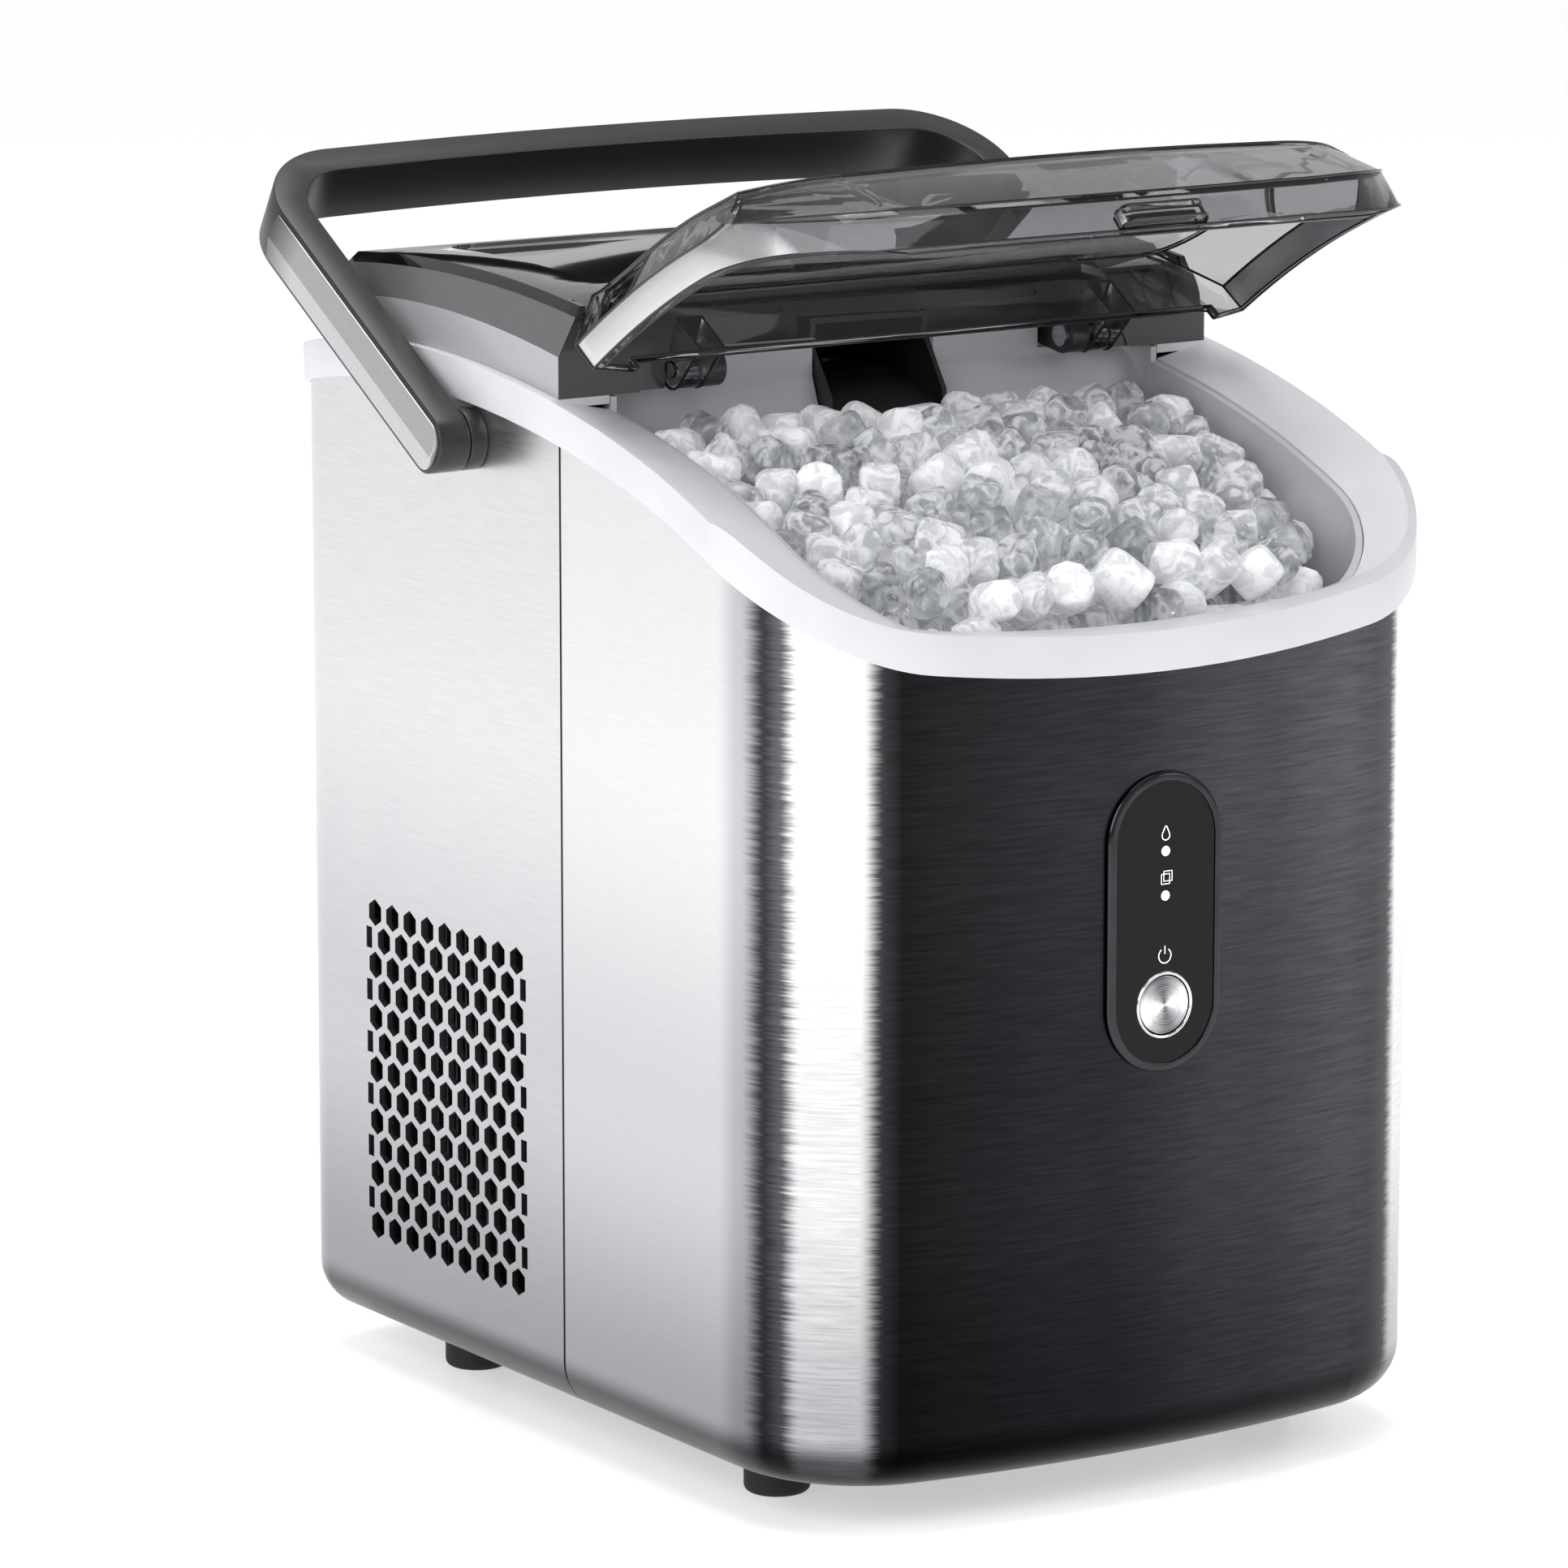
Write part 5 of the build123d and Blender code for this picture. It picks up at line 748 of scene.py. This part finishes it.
# Pressed flake ice: wet, glassy skin with white wisps, and some nuggets white throughout. The white ice
# has a faint painted glow.
def build_ice(tree):
    place = add_node(tree, "ShaderNodeTexCoord")
    cloud = add_node(tree, "ShaderNodeAttribute", attribute_name="cloudiness")
    wisp = add_node(tree, "ShaderNodeTexNoise", {
        "Vector": place.outputs["Object"], "Scale": 190.0, "Detail": 3.0, "Distortion": 1.2,
    })
    ridges = add_node(tree, "ShaderNodeTexNoise", {
        "Vector": place.outputs["Object"], "Scale": 260.0, "Detail": 3.0,
    })
    bump = add_node(tree, "ShaderNodeBump", {
        "Height": ridges.outputs[0], "Strength": 0.3, "Distance": 0.0006,
    })
    tinge = add_node(tree, "ShaderNodeValToRGB", {0: wisp.outputs[0]}, stops=[
        (0.35, "#c4c7cb"), (0.55, "#f8f9fb"),
    ])
    clear = add_node(tree, "ShaderNodeBsdfPrincipled", {
        "Base Color": tinge.outputs[0], "Roughness": 0.08, "IOR": 1.31,
        "Transmission Weight": 0.85, "Normal": bump.outputs[0],
    })
    # White ice with a faint emission: a painted glow.
    cloudy_with_painted_glow = add_node(tree, "ShaderNodeBsdfPrincipled", {
        "Base Color": linear("#f7f8fa"), "Roughness": 0.35, "IOR": 1.31, "Normal": bump.outputs[0],
        "Emission Color": linear("#ffffff"), "Emission Strength": 0.12,
    })
    inner = add_node(tree, "ShaderNodeMapRange", {
        "Value": wisp.outputs[0], "From Min": 0.42, "From Max": 0.62, "To Max": 0.45,
    })
    amount = add_node(tree, "ShaderNodeMath", {
        0: inner.outputs[0], 1: cloud.outputs["Fac"],
    }, operation="ADD", use_clamp=True)
    return add_node(tree, "ShaderNodeMixShader", {
        0: amount.outputs[0], 1: clear.outputs[0], 2: cloudy_with_painted_glow.outputs[0],
    })


ice = material("clear_nugget_ice", build_ice)

nugget_form = bmesh.new()
nugget_rings = []
for reach, level in nugget_profile:
    sides = nugget_sides if reach else 1
    nugget_rings.append([
        nugget_form.verts.new((
            reach * nugget_radius * math.cos(2 * math.pi * side / nugget_sides),
            reach * nugget_radius * math.sin(2 * math.pi * side / nugget_sides),
            level * nugget_length,
        )) for side in range(sides)
    ])
for upper, lower in zip(nugget_rings, nugget_rings[1:]):
    for side in range(nugget_sides):
        following = (side + 1) % nugget_sides
        corners = [
            upper[side % len(upper)], lower[side % len(lower)],
            lower[following % len(lower)], upper[following % len(upper)],
        ]
        nugget_form.faces.new(list(dict.fromkeys(corners)))
nugget_mesh = bpy.data.meshes.new("nugget")
nugget_form.to_mesh(nugget_mesh)
nugget_form.free()
nugget_mesh.shade_smooth()
nugget = bpy.data.objects.new("nugget", nugget_mesh)

heap_rows, heap_columns = 14, 18
heap_points = []
heap_faces = []
for layer in range(heap_layers):
    first = len(heap_points)
    for row in range(heap_rows + 1):
        y = heap_rear + (heap_front - heap_rear) * row / heap_rows
        for column in range(heap_columns + 1):
            x = heap_width(y) * (2 * column / heap_columns - 1)
            heap_points.append((x, y, heap_level(x, y) - layer * heap_layer_drop))
    for row in range(heap_rows):
        for column in range(heap_columns):
            corner = first + row * (heap_columns + 1) + column
            below = corner + heap_columns + 1
            heap_faces.append((corner, below, below + 1, corner + 1))
heap_mesh = bpy.data.meshes.new("ice_heap")
heap_mesh.from_pydata(heap_points, [], heap_faces)
heap = bpy.data.objects.new("ice_heap", heap_mesh)
bpy.context.scene.collection.objects.link(heap)

scatter = bpy.data.node_groups.new("scatter_nuggets", "GeometryNodeTree")
scatter.interface.new_socket("Surface", in_out="INPUT", socket_type="NodeSocketGeometry")
spacing_socket = scatter.interface.new_socket("Spacing", in_out="INPUT", socket_type="NodeSocketFloat")
nugget_socket = scatter.interface.new_socket("Nugget", in_out="INPUT", socket_type="NodeSocketObject")
seed_socket = scatter.interface.new_socket("Seed", in_out="INPUT", socket_type="NodeSocketInt")
scatter.interface.new_socket("Geometry", in_out="OUTPUT", socket_type="NodeSocketGeometry")
given = add_node(scatter, "NodeGroupInput")
points = add_node(scatter, "GeometryNodeDistributePointsOnFaces", {
    "Mesh": given.outputs["Surface"], "Distance Min": given.outputs["Spacing"],
    "Density Max": 60000.0, "Seed": given.outputs["Seed"],
}, distribute_method="POISSON")
shape = add_node(scatter, "GeometryNodeObjectInfo", {"Object": given.outputs["Nugget"]})
turned = add_node(scatter, "FunctionNodeRandomValue", {
    0: (0.0, 0.0, 0.0), 1: (2 * math.pi, 2 * math.pi, 2 * math.pi), "Seed": given.outputs["Seed"],
}, data_type="FLOAT_VECTOR")
grown = add_node(scatter, "FunctionNodeRandomValue", {
    0: (0.85, 0.85, 0.8), 1: (1.1, 1.1, 1.25), "Seed": given.outputs["Seed"],
}, data_type="FLOAT_VECTOR")
placed = add_node(scatter, "GeometryNodeInstanceOnPoints", {
    "Points": points.outputs["Points"], "Instance": shape.outputs["Geometry"],
    "Rotation": turned.outputs[0], "Scale": grown.outputs[0],
})
cloudiness = add_node(scatter, "FunctionNodeRandomValue", {
    2: -0.3, 3: 0.7, "Seed": given.outputs["Seed"],
}, data_type="FLOAT")
marked = add_node(scatter, "GeometryNodeStoreNamedAttribute", {
    "Geometry": placed.outputs[0], "Name": "cloudiness", "Value": cloudiness.outputs[1],
}, data_type="FLOAT", domain="INSTANCE")
whole = add_node(scatter, "GeometryNodeRealizeInstances", {"Geometry": marked.outputs[0]})
iced = add_node(scatter, "GeometryNodeSetMaterial", {"Geometry": whole.outputs[0], "Material": ice})
add_node(scatter, "NodeGroupOutput", {"Geometry": iced.outputs[0]})

scattering = heap.modifiers.new("scattering", "NODES")
scattering.node_group = scatter
scattering[spacing_socket.identifier] = nugget_spacing
scattering[nugget_socket.identifier] = nugget
scattering[seed_socket.identifier] = 7
ice_mesh = bpy.data.meshes.new_from_object(heap.evaluated_get(bpy.context.evaluated_depsgraph_get()))
heap.modifiers.clear()
heap.data = ice_mesh
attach(heap, "basket")


# ---- Inside -------------------------------------------------------------------
# The works that show only through the vents or with the covers off: sheet steel,
# drawn copper, sintered bronze, foam and plain mouldings, each in its usual finish,
# save the aluminium fins, which are coloured near black as painted shade.
# Sheet and drawn metals shine dully. Foam, fins and silicone stay matt, and the
# enamelled compressor has a clear gloss.
inner_metal = moulded("galvanised_steel_sheet", "#a9abae", "#9fa1a4", 0.42, metallic=1.0)
copper = moulded("copper_tube_drawn", "#c67a52", "#b86c46", 0.3, metallic=1.0)
bronze = moulded("bronze_sintered", "#9a7440", "#8c6838", 0.45, metallic=1.0)
turned_steel = moulded("stainless_turned", "#c2c3c6", "#b4b5b9", 0.28, metallic=1.0)
# Painted shade: the aluminium fins are made near black to stand for the dark inside seen through the
# vents.
fins_in_painted_shade = moulded("aluminium_fins_painted_shade", "#1b1b1c", "#151516", 0.5)
black_steel = moulded("black_enamelled_steel", "#1a1a1b", "#141415", 0.25, coat=0.5)
clear_bin = moulded("clear_styrene_moulded", "#c9ccd0", "#c1c4c8", 0.2)
white_foam = moulded("white_foam", "#e6e6e0", "#dcdcd6", 0.9, grain_size=0.003)
green_board = moulded("green_circuit_board", "#1c5c34", "#17502d", 0.4)
silicone = moulded("milky_silicone", "#d2d3d2", "#c8c9c8", 0.5)
slot_finishes = {
    "steel_sheet": inner_metal, "zinc": turned_steel, "black_plastic": black_abs, "circuit": green_board,
    "spring_steel": turned_steel, "clear_basket": clear_bin, "foam": white_foam, "cast_metal": inner_metal,
    "bronze": bronze, "gear_steel": turned_steel, "stainless": turned_steel, "copper": copper,
    "aluminium_fins": fins_in_painted_shade, "compressor_black": black_steel, "silicone": silicone,
    "light_plastic": liner_abs, "grey_plastic": black_abs, "satin_black": black_abs, "rubber": rubber,
}
for name, piece in nodes.items():
    if not piece.hide_render and name not in finished:
        finish_with(slot_finishes[slots[name]], name)
